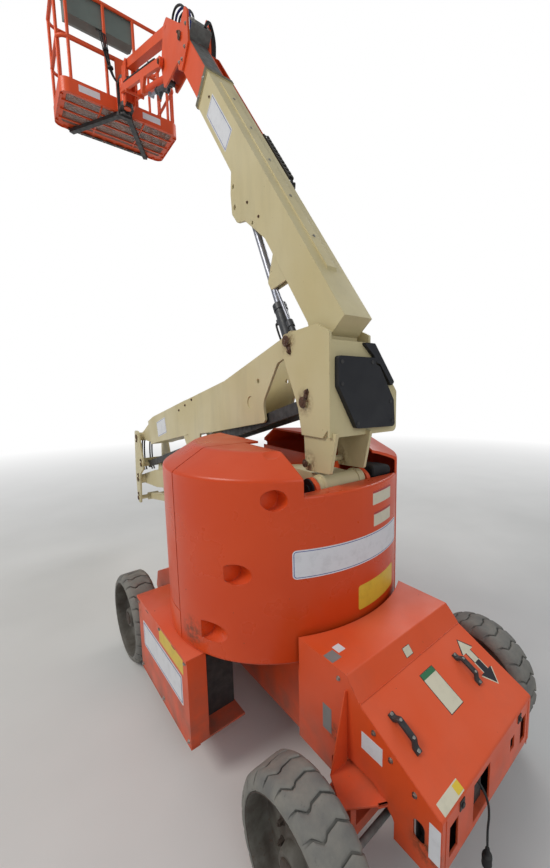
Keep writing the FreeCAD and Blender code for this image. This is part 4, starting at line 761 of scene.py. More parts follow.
def wheel_frame(name):
    low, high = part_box("tyre_" + name)
    centre = (low + high) / 2
    side = 1.0 if centre.y > 0 else -1.0
    turn = Matrix(((1, 0, 0), (0, 0, -side), (0, side, 0))).transposed().to_4x4()
    return Matrix.Translation(centre) @ turn


def block_points(k, phase, wobble):
    """Crown and foot of the tread block k, in rows across the tread."""
    pitch = 2 * math.pi / TREAD_PITCHES
    gap = GROOVE_HALF / TYRE_RADIUS
    top, foot = [], []
    for v in ACROSS:
        shift = from_table(GROOVE, v)
        flare = 0.0016 * max(0.0, abs(v) - 0.062) / 0.026
        start = (k + phase + shift) * pitch + gap + flare / TYRE_RADIUS
        end = (k + 1 + phase + shift) * pitch - gap - flare / TYRE_RADIUS
        crown = from_table(CROWN, v)
        edge = 0.0014 if abs(v) > 0.086 else 0.0
        for part, drop in BLOCK_ROUND:
            angle = start + (end - start) * part
            r = crown - drop + (wobble if drop < 0.001 and abs(v) < 0.07 else 0.0)
            top.append((r * math.cos(angle), r * math.sin(angle), v * (1 - edge)))
            r = crown - GROOVE_DEPTH
            foot.append((r * math.cos(angle), r * math.sin(angle), v * 0.985))
    return top + foot


def block_faces():
    """Faces of a tread block between the points of its crown and its foot."""
    along, count, rows = len(BLOCK_ROUND) - 1, len(BLOCK_ROUND), len(ACROSS)
    half = rows * count
    last = (rows - 1) * count
    faces = []
    for i in range(rows - 1):
        for j in range(along):
            a = i * count + j
            b = a + half
            faces += [(a, a + 1, a + count + 1, a + count), (b, b + count, b + count + 1, b + 1)]
    for j in range(along):
        a = last + j
        faces += [(j, j + half, j + half + 1, j + 1), (a, a + 1, a + half + 1, a + half)]
    for i in range(rows - 1):
        a, b = i * count, (i + 1) * count
        c, d = a + along, b + along
        faces += [(a, b, b + half, a + half), (c, c + half, d + half, d)]
    return faces


def make_wheel(name):
    """Tyre walls, blocks on them, deep rim, nuts and hub cap."""
    place = wheel_frame(name)
    body = "wheel_" + name
    phase = rng.random()
    walls = Shape(place)
    walls.rows(turned(CARCASS + tuple((r, -z) for r, z in reversed(CARCASS[:-1])), WHEEL_SIDES), caps=False)
    walls.done("tyre_walls_" + name, "grey_tyre", body, "grey_tyre", "tyre_" + name, 50.0)
    blocks = Shape(place)
    for k in range(TREAD_PITCHES):
        blocks.add(block_points(k, phase, rng.uniform(-0.0012, 0.0006)), block_faces())
    blocks.done("tyre_blocks_" + name, "grey_tyre", body, "grey_tyre", smooth_angle=42.0)
    rim = Shape(place)
    rim.rows(turned(RIM_SECTION, WHEEL_SIDES), caps=False)
    rim.done("rim_dish_" + name, "rim_paint_and_shade", body, "grey_steel", "rim_" + name, 35.0)
    nuts = Shape(place)
    for x, y, _ in circle(NUT_CIRCLE, NUTS):
        for foot, top, radius, sides, end_radius in NUT_PARTS:
            nuts.rod((x, y, foot), (x, y, top), radius, sides, end_radius)
    nuts.rod((0, 0, 0.0622), (0, 0, 0.0680), 0.046, 28, 0.043)
    for side in (-1, 1):
        nuts.ring((0, 0, side * 0.0850), (0, 0, side), 0.2595, 0.2560, 0.0011, WHEEL_SIDES)
    nuts.done("wheel_nuts_" + name, "worn_steel", body, "grey_steel")


# Flat and bent plates. A mapper turns a place along, up and out of a surface into a place of the part.

def drum_mapper(u, v, w):
    angle = u / DRUM_RADIUS
    r = DRUM_RADIUS + w
    return Vector((r * math.cos(angle), r * math.sin(angle), v))


def flat_mapper(origin, along, up, place=CHASSIS):
    origin, along, up = Vector(origin), Vector(along).normalized(), Vector(up).normalized()
    out = along.cross(up)

    def mapper(u, v, w):
        return place @ (origin + along * u + up * v + out * w)
    return mapper


def drum_arc(degrees):
    return math.radians(degrees) * DRUM_RADIUS


def down(x):
    """Way up the hood's slope from its fold, negative below it, of a place x."""
    return (HOOD_FOLD[0] - x) / HOOD_FALL.x


PLATE_THICK = 0.0008
ON_FACE, ON_PLATE, ON_LINE, ON_SHEET = 0.0006, 0.0010, 0.0012, 0.0014
HOOD_TOP_FALL = Vector((HOOD_TOP_END[0] - HOOD_FOLD[0], 0, HOOD_TOP_END[1] - HOOD_FOLD[1])).normalized()
SURFACES = {
    "drum": drum_mapper,
    # u runs to the left across the hood, v up the slope, both from the fold's middle
    "hood_slope": flat_mapper((HOOD_FOLD[0], 0, HOOD_FOLD[1]), (0, 1, 0), -HOOD_FALL),
    "hood_upper": flat_mapper((HOOD_FOLD[0], 0, HOOD_FOLD[1]), (0, 1, 0), HOOD_TOP_FALL),
    "hood_top": flat_mapper((0.0, 0, HOOD_TOP_END[1]), (0, 1, 0), (-1, 0, 0)),
    "hood_side": flat_mapper((0, -HOOD_SIDE, 0), (1, 0, 0), (0, 0, 1)),
    "box_side": flat_mapper((0, -BOX_SIDE, 0), (1, 0, 0), (0, 0, 1)),
    # u runs along the boom, v up its near side
    "boom_side": flat_mapper((0, BOOM_HALF, 0), (-1, 0, 0), (0, 0, 1), BOOM),
    "mid_boom_side": flat_mapper((0, 0.113, 0), (-1, 0, 0), (0, 0, 1), MIDDLE),
    "platform_side": flat_mapper((PLATFORM_NEAR, 0, 0), (0, 1, 0), (0, 0, 1), UPPER),
}


def make_plate(surface, name, finish, body, u0, u1, v0, v1, corner, out=ON_FACE):
    """Thin plate with round corners, laid on a surface."""
    mapper = SURFACES[surface]
    steps = max(8, int((u1 - u0) / 0.012))
    stations = [u0 + (u1 - u0) * i / steps for i in range(steps + 1)]
    fine = [corner * (1 - math.cos(math.pi / 2 * i / 5)) for i in range(1, 6)]
    stations += [u0 + f for f in fine] + [u1 - f for f in fine]
    rings = []
    for u in sorted(set(round(s, 6) for s in stations)):
        depth = min(u - u0, u1 - u)
        drop = corner - math.sqrt(max(0.0, corner ** 2 - (corner - depth) ** 2)) if depth < corner else 0.0
        low, high = v0 + drop, max(v1 - drop, v0 + drop + 1e-5)
        rings.append([mapper(u, v, w) for v, w in ((low, out), (high, out), (high, out - PLATE_THICK),
                                                   (low, out - PLATE_THICK))])
    shape = Shape()
    shape.rows(rings)
    shape.done(name, finish, body, "grey_steel", smooth_angle=30.0)


def make_bordered(surface, name, body, u0, u1, v0, v1, corner, face, line, margin, width):
    """A plate with a thin line round it, inset from its edge."""
    make_plate(surface, name, face, body, u0, u1, v0, v1, corner)
    for ending, finish, m, out in (("_line", line, margin, 0.0008), ("_face", face, margin + width, ON_PLATE)):
        make_plate(surface, name + ending, finish, body, u0 + m, u1 - m, v0 + m, v1 - m,
                   max(corner - m, 0.001), out)


def make_drum_plates():
    make_bordered("drum", "drum_long_plate", "turntable", drum_arc(-32.7), drum_arc(28.0), 1.116, 1.259, 0.022,
                  "white_plate", "blue_line", 0.006, 0.0035)
    make_plate("drum", "drum_yellow_plate", "yellow_plate", "turntable", drum_arc(-4.0), drum_arc(24.0),
               0.868, 1.000, 0.014)
    for index, (a0, a1, z0, z1) in enumerate(((4.4, 20.0, 1.405, 1.477), (5.2, 20.0, 1.288, 1.362))):
        across = ("turntable", drum_arc(a0), drum_arc(a1))
        make_plate("drum", "drum_small_plate_%d" % index, "cream_plate", *across, z0, z1, 0.003)
        make_plate("drum", "drum_small_band_%d" % index, "red_band", *across, z1 - 0.010, z1, 0.001, ON_PLATE)


def make_hood_plates():
    make_bordered("hood_slope", "hood_placard", "chassis", -0.055, 0.040, down(1.254), down(1.087), 0.002,
                  "black_film", "cream_plate", 0.0025, 0.02)
    for name, finish, u0, u1, low_x, high_x, corner, out in (
            ("hood_placard_sheet", "cream_plate", -0.0525, 0.0375, 1.2515, 1.0895, 0.001, ON_LINE),
            ("hood_placard_band", "green_band", -0.0525, 0.0375, 1.112, 1.0895, 0.001, ON_SHEET),
            ("hood_low_plate", "cream_plate", -0.355, -0.228, 1.413 - 0.004, 1.372, 0.002, ON_FACE),
            ("hood_low_band", "yellow_plate", -0.262, -0.228, 1.405, 1.376, 0.001, ON_LINE)):
        make_plate("hood_slope", name, finish, "chassis", u0, u1, down(low_x), down(high_x), corner, out)
    make_arrow()
    make_bordered("hood_upper", "hood_upper_plate", "chassis", -0.052, -0.002, 0.022, 0.066, 0.001,
                  "black_film", "cream_plate", 0.002, 0.02)
    for surface, name, finish, u0, u1, v0, v1, corner, out in (
            ("hood_upper", "hood_upper_sheet", "cream_plate", -0.050, -0.004, 0.024, 0.064, 0.001, ON_LINE),
            ("hood_top", "hood_top_plate_a", "grey_film", -0.372, -0.318, -0.862, -0.800, 0.001, ON_FACE),
            ("hood_top", "hood_top_plate_b", "white_plate", -0.310, -0.270, -0.835, -0.787, 0.001, ON_FACE),
            ("hood_side", "hood_side_label", "white_plate", 1.040, 1.150, 0.578, 0.652, 0.002, ON_FACE),
            ("hood_side", "hood_side_plate", "grey_film", 0.80, 0.858, 0.50, 0.62, 0.002, ON_FACE),
            ("hood_side", "hood_side_tag", "white_plate", 1.362, 1.408, 0.40, 0.54, 0.002, ON_FACE)):
        make_plate(surface, name, finish, "chassis", u0, u1, v0, v1, corner, out)


# arrow across the hood, its ends up the slope, and its half widths
ARROW_Y = 0.278
ARROW_START, ARROW_END = down(1.085), down(1.297)
ARROW_HEAD, ARROW_WIDE, ARROW_NARROW = 0.064, 0.044, 0.018
ARROW_EDGE = 0.0045


def make_arrow():
    """Two-headed arrow, one half light and one half dark, each edged in the other, down the steep panel."""
    panel = SURFACES["hood_slope"]
    middle = (ARROW_START + ARROW_END) / 2
    for name, finish, border, tip in (("light", "cream_plate", "black_film", ARROW_START),
                                      ("dark", "black_film", "cream_plate", ARROW_END)):
        way = 1 if tip > middle else -1
        for layer, (extra, paint, out) in enumerate(((ARROW_EDGE, border, ON_FACE), (0.0, finish, ON_PLATE))):
            shoulder = tip - way * (ARROW_HEAD - extra)
            narrow, wide = ARROW_NARROW + extra, ARROW_WIDE + extra
            outline = [(-narrow, middle), (-narrow, shoulder), (-wide, shoulder), (0.0, tip + way * extra * 1.6),
                       (wide, shoulder), (narrow, shoulder), (narrow, middle)]
            shape = Shape()
            shape.rows([[panel(ARROW_Y + u, v, w) for u, v in outline] for w in (out - PLATE_THICK, out)])
            shape.done("hood_arrow_%s_%d" % (name, layer), paint, "chassis", "grey_steel")


def make_side_plates():
    make_bordered("box_side", "box_banner", "chassis", -0.53, 0.12, 0.375, 0.545, 0.01, "white_plate", "blue_line",
                  0.010, 0.006)
    make_plate("box_side", "box_yellow_plate", "yellow_plate", "chassis", -0.215, 0.145, 0.565, 0.655, 0.006)
    make_bordered("boom_side", "boom_plate", "main_boom", -2.135, -1.690, 0.018, 0.158, 0.004,
                  "white_plate", "blue_line", 0.008, 0.004)
    make_bordered("mid_boom_side", "mid_boom_plate", "mid_boom", -2.745, -2.430, -0.115, 0.045, 0.006,
                  "white_plate", "blue_line", 0.006, 0.0035)


# Pins and bolts

# pin ends: body, x, z in the boom plane, distance from it, radius, direction of the lock tab in degrees or None
PIN_ENDS = (
    ("upright", *PIVOT_UPRIGHT, 0.147, 0.030, -70.0),
    ("upright", *PIN_UPPER_LINK, 0.147, 0.030, 65.0),
    ("upright", *PIVOT_LIFT, 0.143, 0.022, None),
    ("knuckle", *PIVOT_KNUCKLE_LOW, 0.172, 0.030, 100.0),
    ("knuckle", PIVOT_KNUCKLE_LOW[0] - 0.050, PIVOT_KNUCKLE_LOW[1] - 0.250, 0.172, 0.027, 90.0),
    ("knuckle", *PIVOT_KNUCKLE_HIGH, 0.172, 0.030, -110.0),
    ("knuckle", PIVOT_KNUCKLE_HIGH[0] + 0.149, PIVOT_KNUCKLE_HIGH[1] - 0.324, 0.172, 0.027, 120.0),
    ("fly_boom", *PIN_TIP, 0.094, 0.030, 128.0),
    ("jib_base", *PIVOT_JIB, 0.092, 0.020, None),
)
# lock tab from its pin: along and across
LOCK_TAB = ((0.004, -0.014), (0.066, -0.014), (0.078, 0.0), (0.066, 0.014), (0.004, 0.014))
LOCK_BOLT_AT = 0.060
COVER_SCREWS = ((-0.085, 2.135), (0.120, 2.140), (0.262, 1.935), (0.278, 1.830), (0.020, 1.832), (-0.085, 2.030))
HANDLES_Y = (-0.292, 0.187)
# handle bolts: distance down the slope, height over it, radius
HANDLE_BOLTS = ((0.098, 0.0105, 0.0075), (0.136, 0.0345, 0.0062), (0.206, 0.0345, 0.0062), (0.244, 0.0105, 0.0075))


def make_pins():
    grouped = {}
    for body, x, z, reach, radius, tab in PIN_ENDS:
        shape = grouped.setdefault(body, Shape(UPPER))
        for side in (-1, 1):
            shape.rod((x, side * reach, z), (x, side * (reach + 0.006), z), radius, 24, rim=0.0015)
            shape.rod((x, side * (reach + 0.006), z), (x, side * (reach + 0.009), z), radius * 0.45, 12,
                      rim=0.001)
            if tab is None:
                continue
            turn = math.radians(tab)
            along = Vector((math.cos(turn), 0, math.sin(turn)))
            across = Vector((-along.z, 0, along.x))
            shape.rows(loft([along * a + across * b for a, b in LOCK_TAB],
                            [Vector((x, side * level, z)) for level in (reach - 0.010, reach - 0.004)]))
            seat = Vector((x, side * (reach - 0.004), z)) + along * LOCK_BOLT_AT
            shape.bolt(seat, (0, side, 0), 0.017, 0.008)
    for body, shape in grouped.items():
        shape.done(body + "_pin_ends", "rust", body, "grey_steel")
    caps = Shape(UPPER)
    x, z = PIVOT_LOWER
    for side in (-1, 1):
        caps.rod((x, side * 0.187, z), (x, side * 0.196, z), 0.052, 28, rim=0.003)
        caps.rod((x, side * 0.196, z), (x, side * 0.202, z), 0.020, 6)
    caps.done("turntable_pin_caps", "black_plastic", "turntable", "black_plastic")


def both_sides(reach, places):
    return [(a, side * reach, b) for side in (-1, 1) for a, b in places]


# bolt heads on the sides: name, finish, body, frame, size across, seats
BOLTS = (
    ("collar_bolts", "zinc", "main_boom", BOOM, 0.016, both_sides(0.098, ((2.333, 0.040), (2.333, 0.158)))),
    ("bracket_bolts", "rust", "main_boom", BOOM, 0.012,
     both_sides(0.090, ((1.02, 0.020), (1.20, -0.010), (2.17, 0.12)))),
    ("head_bolts", "zinc", "fly_boom", BOOM, 0.018,
     both_sides(0.088, ((2.860, 0.060), (2.860, 0.140), (2.935, 0.250), (2.905, 0.020)))),
    ("fork_bolts", "rust", "mid_boom", MIDDLE, 0.014,
     both_sides(0.113, ((1.60, 0.040), (1.78, 0.030), (1.96, 0.020)))),
    ("hood_bolts", "zinc", "chassis", CHASSIS, 0.014,
     both_sides(HOOD_SIDE, ((1.105, 0.690), (1.190, 0.640), (1.300, 0.590), (0.905, 0.800)))),
    ("box_bolts", "zinc", "chassis", CHASSIS, 0.015,
     both_sides(BOX_SIDE, [(x, z) for x in (-0.585, -0.20, 0.172) for z in (0.212, 0.648)])),
)


def make_bolts():
    for name, finish, body, place, across, seats in BOLTS:
        shape = Shape(place)
        for seat in seats:
            shape.bolt(seat, (0, math.copysign(1.0, seat[1]), 0), across, across * 0.42)
        shape.done(name, finish, body, "grey_steel")
    screws = Shape(UPPER)
    for y, z in COVER_SCREWS:
        screws.rod((0.652, y, z), (0.655, y, z), 0.010, 16, rim=0.001)
    screws.done("cover_screws", "black_steel", "upright", "black_steel")
    handles = Shape()
    above = Vector((-HOOD_FALL.z, 0, HOOD_FALL.x))
    for y in HANDLES_Y:
        for along, high, radius in HANDLE_BOLTS:
            seat = Vector((HOOD_FOLD[0], y, HOOD_FOLD[1])) + HOOD_FALL * along + above * high
            handles.rod(seat, seat + above * 0.003, radius, 12, rim=0.001)
    handles.done("handle_bolts", "zinc", "chassis", "grey_steel")


# Power track, in the boom's frame: x along it, z above it

TRACK_TOP, TRACK_LOW = 0.195, 0.0812
TRACK_BEND = 1.24
TRACK_MIDDLE = (0.182 + 0.0943) / 2
TRACK_RADIUS = TRACK_TOP - TRACK_MIDDLE
TRACK_PITCH = 0.040
# outline of a side plate and section of a cross bar, along and across the link
LINK_PLATE = ((-0.021, -0.008), (-0.014, -0.013), (0.014, -0.013), (0.021, -0.008), (0.021, 0.008), (0.014, 0.013),
              (-0.014, 0.013), (-0.021, 0.008))
LINK_BAR = ((-0.007, 0), (0.007, 0), (0.007, 0.003), (-0.007, 0.003))


def track_bend(turn):
    return TRACK_BEND + TRACK_RADIUS * math.cos(turn), TRACK_MIDDLE + TRACK_RADIUS * math.sin(turn)


def make_power_track():
    """Linked cable carrier: side plates and cross bars on the path of the chain, and the hoses in it."""
    path = [(1.70 - i * TRACK_PITCH, TRACK_TOP, math.pi) for i in range(12)]
    turns = int(math.pi * TRACK_RADIUS / TRACK_PITCH)
    for i in range(1, turns):
        turn = math.pi / 2 + math.pi * i / turns
        path.append((*track_bend(turn), turn + math.pi / 2))
    path += [(1.26 + i * TRACK_PITCH, TRACK_LOW, 0.0) for i in range(40)]
    links = Shape(BOOM)
    for s, n, turn in path:
        along = Vector((math.cos(turn), 0, math.sin(turn)))
        up = Vector((-along.z, 0, along.x))
        for ys in ((-0.158, -0.153), (-0.127, -0.122)):
            links.rows([[Vector((s, y, n)) + (along * a + up * b) for a, b in LINK_PLATE] for y in ys])
        for low in (-0.0115, 0.0095):
            links.rows([[Vector((s, y, n)) + (along * a + up * (low + b)) for a, b in LINK_BAR]
                        for y in (-0.1535, -0.1265)])
    links.done("track_links", "track_plastic", "fly_boom", "black_plastic", "track_chain")
    hoses = Shape(BOOM)
    route = [(1.70, TRACK_TOP)] + [track_bend(math.pi * share) for share in (1 / 2, 0.75, 1, 1.25, 1.5)]
    for y in (-0.147, -0.140, -0.133):
        points = [(s, y, n) for s, n in route + [(2.0, TRACK_LOW), (2.86, TRACK_LOW)]]
        hoses.tube(smooth_path(points, 6), 0.0030, 6)
    hoses.done("track_hoses", "black_rubber", "fly_boom", "black_rubber")


# Platform

PLATFORM_FAR = PLATFORM_NEAR - PLATFORM_DEPTH
PLATFORM_HALF = PLATFORM_LENGTH / 2
FLOOR_EDGE = 0.0056
FLOOR_BARS = (0.200, 0.380, 0.560)
# opening of the floor's border: x0, x1, y0, y1
FLOOR_WINDOW = (PLATFORM_FAR + 0.115, PLATFORM_NEAR - 0.062, -PLATFORM_HALF + 0.062, PLATFORM_HALF - 0.062)
MESH_PITCH = 0.022
MESH_SLOPE = 1.7
MESH_HALF_WIDTH = 0.0025
MESH_THICK = 0.0026
MESH_UNDER_BORDER = 0.004
CONSOLE_TOP = FLOOR_HEIGHT + 1.045
LEVER_X = PLATFORM_NEAR - 0.20
LEVER_Y = (-0.36, -0.02)
# boot and knob of a lever: height over the panel, radius
LEVER_SECTION = ((0.008, 0.033), (0.014, 0.026), (0.017, 0.029), (0.023, 0.021), (0.026, 0.024), (0.032, 0.014),
                 (0.045, 0.010), (0.075, 0.009), (0.090, 0.016), (0.112, 0.019), (0.122, 0.012))
# leads from the console down to the floor: x over the near side, share of the lead's dx, y, share of its dy,
# height over the floor
LEAD_ROUTE = ((-0.070, 0.0, -0.200, 1.0, 0.826), (-0.040, 0.0, -0.195, 1.0, 0.790),
              (0.016, 0.5, -0.185, 1.3, 0.740), (0.020, 1.0, -0.165, 1.0, 0.600),
              (0.022, 1.0, -0.140, 0.7, 0.470), (0.024, 0.6, -0.110, 0.5, 0.370),
              (0.026, 0.4, -0.080, 0.4, 0.315), (0.028, 0.3, -0.056, 0.3, 0.297))
# each lead: dy, dx, radius
LEADS = ((0.0, 0.0, 0.0062), (0.020, 0.006, 0.0062), (-0.018, 0.010, 0.0062), (0.006, 0.018, 0.0045),
         (0.034, -0.004, 0.0045))


def rounded_loop(x0, x1, y0, y1, z, radius, steps=6):
    points = []
    for cx, cy, start in ((x1 - radius, y1 - radius, 0), (x0 + radius, y1 - radius, 1),
                          (x0 + radius, y0 + radius, 2), (x1 - radius, y0 + radius, 3)):
        for i in range(steps + 1):
            a = math.pi / 2 * (start + i / steps)
            points.append((cx + radius * math.cos(a), cy + radius * math.sin(a), z))
    return points


def cut_to_window(start, end, low, high):
    """Shares along a line between which its y lies from low to high, or None when it misses."""
    first, last = 0.0, 1.0
    for bound, sign in ((low, 1), (high, -1)):
        da, db = sign * (start[1] - bound), sign * (end[1] - bound)
        if da < 0 and db < 0:
            return None
        if da < 0:
            first = max(first, da / (da - db))
        elif db < 0:
            last = min(last, da / (da - db))
    return (first, last) if first < last - 0.01 else None


def make_floor_mesh():
    """Two layers of slanting wires over the window."""
    mesh = Shape(UPPER)
    x0, x1, y0, y1 = FLOOR_WINDOW
    for direction in (-1, 1):
        low = FLOOR_HEIGHT + (0.0150 if direction > 0 else 0.0163)
        for k in range(-110, 112):
            start, end = [(x, direction * MESH_SLOPE * (x - x0) + k * MESH_PITCH)
                          for x in (x0 - MESH_UNDER_BORDER, x1 + MESH_UNDER_BORDER)]
            cut = cut_to_window(start, end, y0 - MESH_UNDER_BORDER, y1 + MESH_UNDER_BORDER)
            if cut is None:
                continue
            start, end = [Vector((start[0] + (end[0] - start[0]) * t, start[1] + (end[1] - start[1]) * t, 0))
                          for t in cut]
            side = Vector((-(end - start).y, (end - start).x, 0)).normalized() * MESH_HALF_WIDTH
            mesh.rows(loft((start - side, start + side, end + side, end - side),
                           [Vector((0, 0, h)) for h in (low, low + MESH_THICK)]))
    mesh.done("floor_mesh", "mesh_floor", "platform", "grey_steel")


def make_platform_floor():
    z = FLOOR_HEIGHT
    border = Shape(UPPER)
    outer = (PLATFORM_FAR + FLOOR_EDGE, PLATFORM_NEAR - FLOOR_EDGE, -PLATFORM_HALF + FLOOR_EDGE,
             PLATFORM_HALF - FLOOR_EDGE)
    border.band([rounded_loop(*outer, z + 0.014, 0.082), rounded_loop(*outer, z + 0.020, 0.082),
                 rounded_loop(*FLOOR_WINDOW, z + 0.020, 0.030), rounded_loop(*FLOOR_WINDOW, z + 0.014, 0.030)])
    for along in FLOOR_BARS:
        x = PLATFORM_NEAR - along
        border.block((x - 0.010, -PLATFORM_HALF + 0.030, z), (x + 0.010, PLATFORM_HALF - 0.030, z + 0.0139),
                     0.001)
    for y in (-0.22, 0.22):
        border.block((FLOOR_WINDOW[0] - 0.01, y - 0.008, z + 0.002),
                     (FLOOR_WINDOW[1] + 0.01, y + 0.008, z + 0.0138), 0.001)
    border.done("floor_border", "orange_paint", "platform", "orange_paint", "platform_floor")
    make_floor_mesh()


def make_console():
    near, top = PLATFORM_NEAR, CONSOLE_TOP
    panel = Shape(UPPER)
    panel.block((near - 0.293, -0.483, top - 0.012), (near - 0.063, 0.133, top), 0.003)
    for y in LEVER_Y:
        panel.rod((LEVER_X, y, top), (LEVER_X, y, top + 0.008), 0.040, 24, rim=0.002)
        panel.rows([[(LEVER_X + dx, y + dy, top + h) for dx, dy, _ in circle(r, 16)] for h, r in LEVER_SECTION])
    for i in range(7):
        y = -0.44 + i * 0.078
        panel.rod((near - 0.105, y, top), (near - 0.105, y, top + 0.006), 0.0085, 12, rim=0.001)
        panel.rod((near - 0.105, y, top + 0.006), (near - 0.098, y, top + 0.024), 0.0035, 8, 0.0045)
    panel.done("console_panel", "black_plastic", "platform", "black_plastic")
    stop = Shape(UPPER)
    stop.rod((near - 0.19, 0.085, top), (near - 0.19, 0.085, top + 0.018), 0.012)
    stop.rod((near - 0.19, 0.085, top + 0.018), (near - 0.19, 0.085, top + 0.032), 0.021, 24, rim=0.003)
    stop.done("console_stop", "red_plastic", "platform", "black_plastic")
    rim = Shape(UPPER)
    outer, inner = (near - 0.316, near - 0.039, -0.506, 0.156), (near - 0.297, near - 0.058, -0.487, 0.137)
    low, high = FLOOR_HEIGHT + 1.0985, FLOOR_HEIGHT + 1.108
    rim.band([rounded_loop(*sides, z, 0.006, 3) for sides, z in ((outer, low), (outer, high), (inner, high),
                                                                 (inner, low))])
    for y in (-0.38, 0.05):
        rim.block((near - 0.046, y - 0.014, FLOOR_HEIGHT + 1.05), (near - 0.034, y + 0.014, FLOOR_HEIGHT + 1.104),
                  0.002)
    rim.block((near - 0.311, -0.30, FLOOR_HEIGHT + 0.905), (near - 0.3085, -0.06, FLOOR_HEIGHT + 1.07), 0.001)
    rim.done("console_rim", "grey_plastic", "platform", "grey_plastic")
    leads = Shape(UPPER)
    for dy, dx, radius in LEADS:
        points = [(near + x + dx * share_x, y + dy * share_y, FLOOR_HEIGHT + h)
                  for x, share_x, y, share_y, h in LEAD_ROUTE]
        leads.tube(smooth_path(points, 5), radius)
    for x, y, h in ((0.024, -0.158, 0.60), (0.028, -0.122, 0.43)):
        leads.rod((near + x, y, FLOOR_HEIGHT + h), (near + x + 0.001, y + 0.004, FLOOR_HEIGHT + h - 0.022),
                  0.030, 14, rim=0.003)
    leads.done("console_leads", "black_rubber", "platform", "black_rubber")


def make_platform_details():
    rims = Shape(UPPER)
    for i in range(6):
        rims.ring((PLATFORM_FAR + 0.025, -0.330 + i * 0.12, FLOOR_HEIGHT - 0.0082), (0, 0, -1),
                  0.0225, 0.0180, 0.002)
    rims.done("strip_rims", "zinc", "platform", "grey_steel")
    for name, u0, u1 in (("kick_plate_a", -0.44, -0.24), ("kick_plate_b", 0.20, 0.40)):
        make_plate("platform_side", name, "white_plate", "platform", u0, u1, FLOOR_HEIGHT + 0.045,
                   FLOOR_HEIGHT + 0.115, 0.003)
    make_console()


# Hoses

# route of a ram's hose: share of the barrel's length, shift along it, y, depth below the barrel
RAM_HOSE = ((1.0, -0.085, 0.0, 0.032), (1.0, -0.12, 0.004, 0.046), (0.5, 0.0, 0.010, 0.012),
            (0.0, 0.16, 0.010, 0.016), (0.0, 0.108, 0.004, 0.030))
# rams: name, body, frame, barrel length, barrel radius
RAMS = (("lift_ram", "lift_cylinder", LIFT, 1.000, 0.040), ("tower_ram", "tower_cylinder", TOWER, 0.960, 0.039),
        ("jib_ram", "jib_cylinder", JIB_RAM, 0.420, 0.026))


def make_hose(name, body, place, paths, radius, finish="black_rubber"):
    shape = Shape(place)
    for points in paths:
        shape.tube(smooth_path(points, 6), radius)
    shape.done(name, finish, body, "black_rubber")


def make_ram_fittings(name, body, place, barrel, radius):
    """Ports and hose under a cylinder, and the gland at its open end."""
    fittings = Shape(place)
    for s in (0.095, barrel - 0.085):
        fittings.block((s - 0.018, -0.015, -radius - 0.022), (s + 0.018, 0.015, -radius + 0.006), 0.003)
        fittings.rod((s, 0, -radius - 0.020), (s, 0, -radius - 0.034), 0.011, 6)
    fittings.ring((barrel - 0.001, 0, 0), (1, 0, 0), radius * 0.90, radius * 0.66, 0.004)
    for i in range(6):
        a = math.pi * i / 3
        foot, top = [(barrel - 0.02, r * math.cos(a), r * math.sin(a))
                     for r in (radius + 0.004, radius + 0.004 + 0.002)]
        fittings.rod(foot, top, 0.005, 8)
    fittings.done(name + "_fittings", "cylinder_paint", body, "black_steel")
    route = [(barrel * share + shift, y, -radius - depth) for share, shift, y, depth in RAM_HOSE]
    make_hose(name + "_hose", body, place, [route], 0.0065)


def make_hoses():
    for name, finish, ys in (("jib_hose_a", "black_rubber", (-0.026, 0.026)),
                             ("jib_hose_b", "blue_rubber", (0.0,))):
        paths = [((-1.225, y, 4.745), (-1.225, y, 4.860), (-1.310, y * 1.2, 4.965), (-1.420, y * 1.2, 5.025),
                  (-1.505, y, 5.035), (-1.540, y, 5.000)) for y in ys]
        make_hose(name, "jib_base", UPPER, paths, 0.0085, finish)
    paths = [((2.80, y, 0.095), (2.885, y - 0.006, 0.125), (2.950, y + 0.010, 0.240), (2.935, y * 0.5, 0.330),
              (2.895, y * 0.25, 0.315), (2.875, y * 0.2, 0.305)) for y in (-0.150, -0.138, -0.126)]
    make_hose("fly_hoses", "fly_boom", BOOM, paths, 0.0075)
    paths = [((0.14, y, 0.036), (0.20, y, 0.047), (0.70, y, 0.046), (1.22, y, 0.047), (1.30, y, 0.036))
             for y in (0.068, 0.083)]
    make_hose("jib_arm_hoses", "jib_arms", JIB, paths, 0.0065)
    clamps = Shape(JIB)
    for s in (0.34, 0.70, 1.06):
        clamps.block((s - 0.010, 0.058, 0.034), (s + 0.010, 0.0925, 0.0575), 0.003)
    clamps.done("jib_clamps", "black_steel", "jib_arms", "black_steel")
    paths = [((-3.262, y, 1.340), (-3.315, y, 1.290), (-3.345, y, 1.150), (-3.330, y, 1.010), (-3.280, y, 0.945))
             for y in (-0.060, -0.035, 0.030, 0.055)]
    make_hose("knuckle_hoses", "knuckle", UPPER, paths, 0.009)
    for ram in RAMS:
        make_ram_fittings(*ram)


# Boom and hub

# painted shade round the boom's mouth, as thin dark olive films standing for the collar's shadow: two corners of
# each
COLLAR_SHADE_FILMS = (((2.3105, 0.098, -0.0245), (2.3555, 0.0988, 0.2225)),
                ((2.3105, -0.0988, -0.0245), (2.3555, -0.098, 0.2225)),
                ((2.3105, -0.0985, 0.222), (2.3555, 0.0985, 0.2228)),
                ((2.3105, -0.0985, -0.0248), (2.3555, 0.0985, -0.024)))
# bolts on top of a boom: piece, body, size across, height, seats
TOP_BOLTS = (("fly_top_bolts", "fly_boom", 0.016, 0.007,
              [(s, y, 0.298) for s in (2.885, 2.935) for y in (-0.045, 0.045)]),
             ("boom_top_bolts", "main_boom", 0.012, 0.004,
              [(s, 0.0, 0.224) for s in (0.60, 0.95, 1.30, 1.65, 2.00)]))
BOOT_AT = (0.520, 1.535)
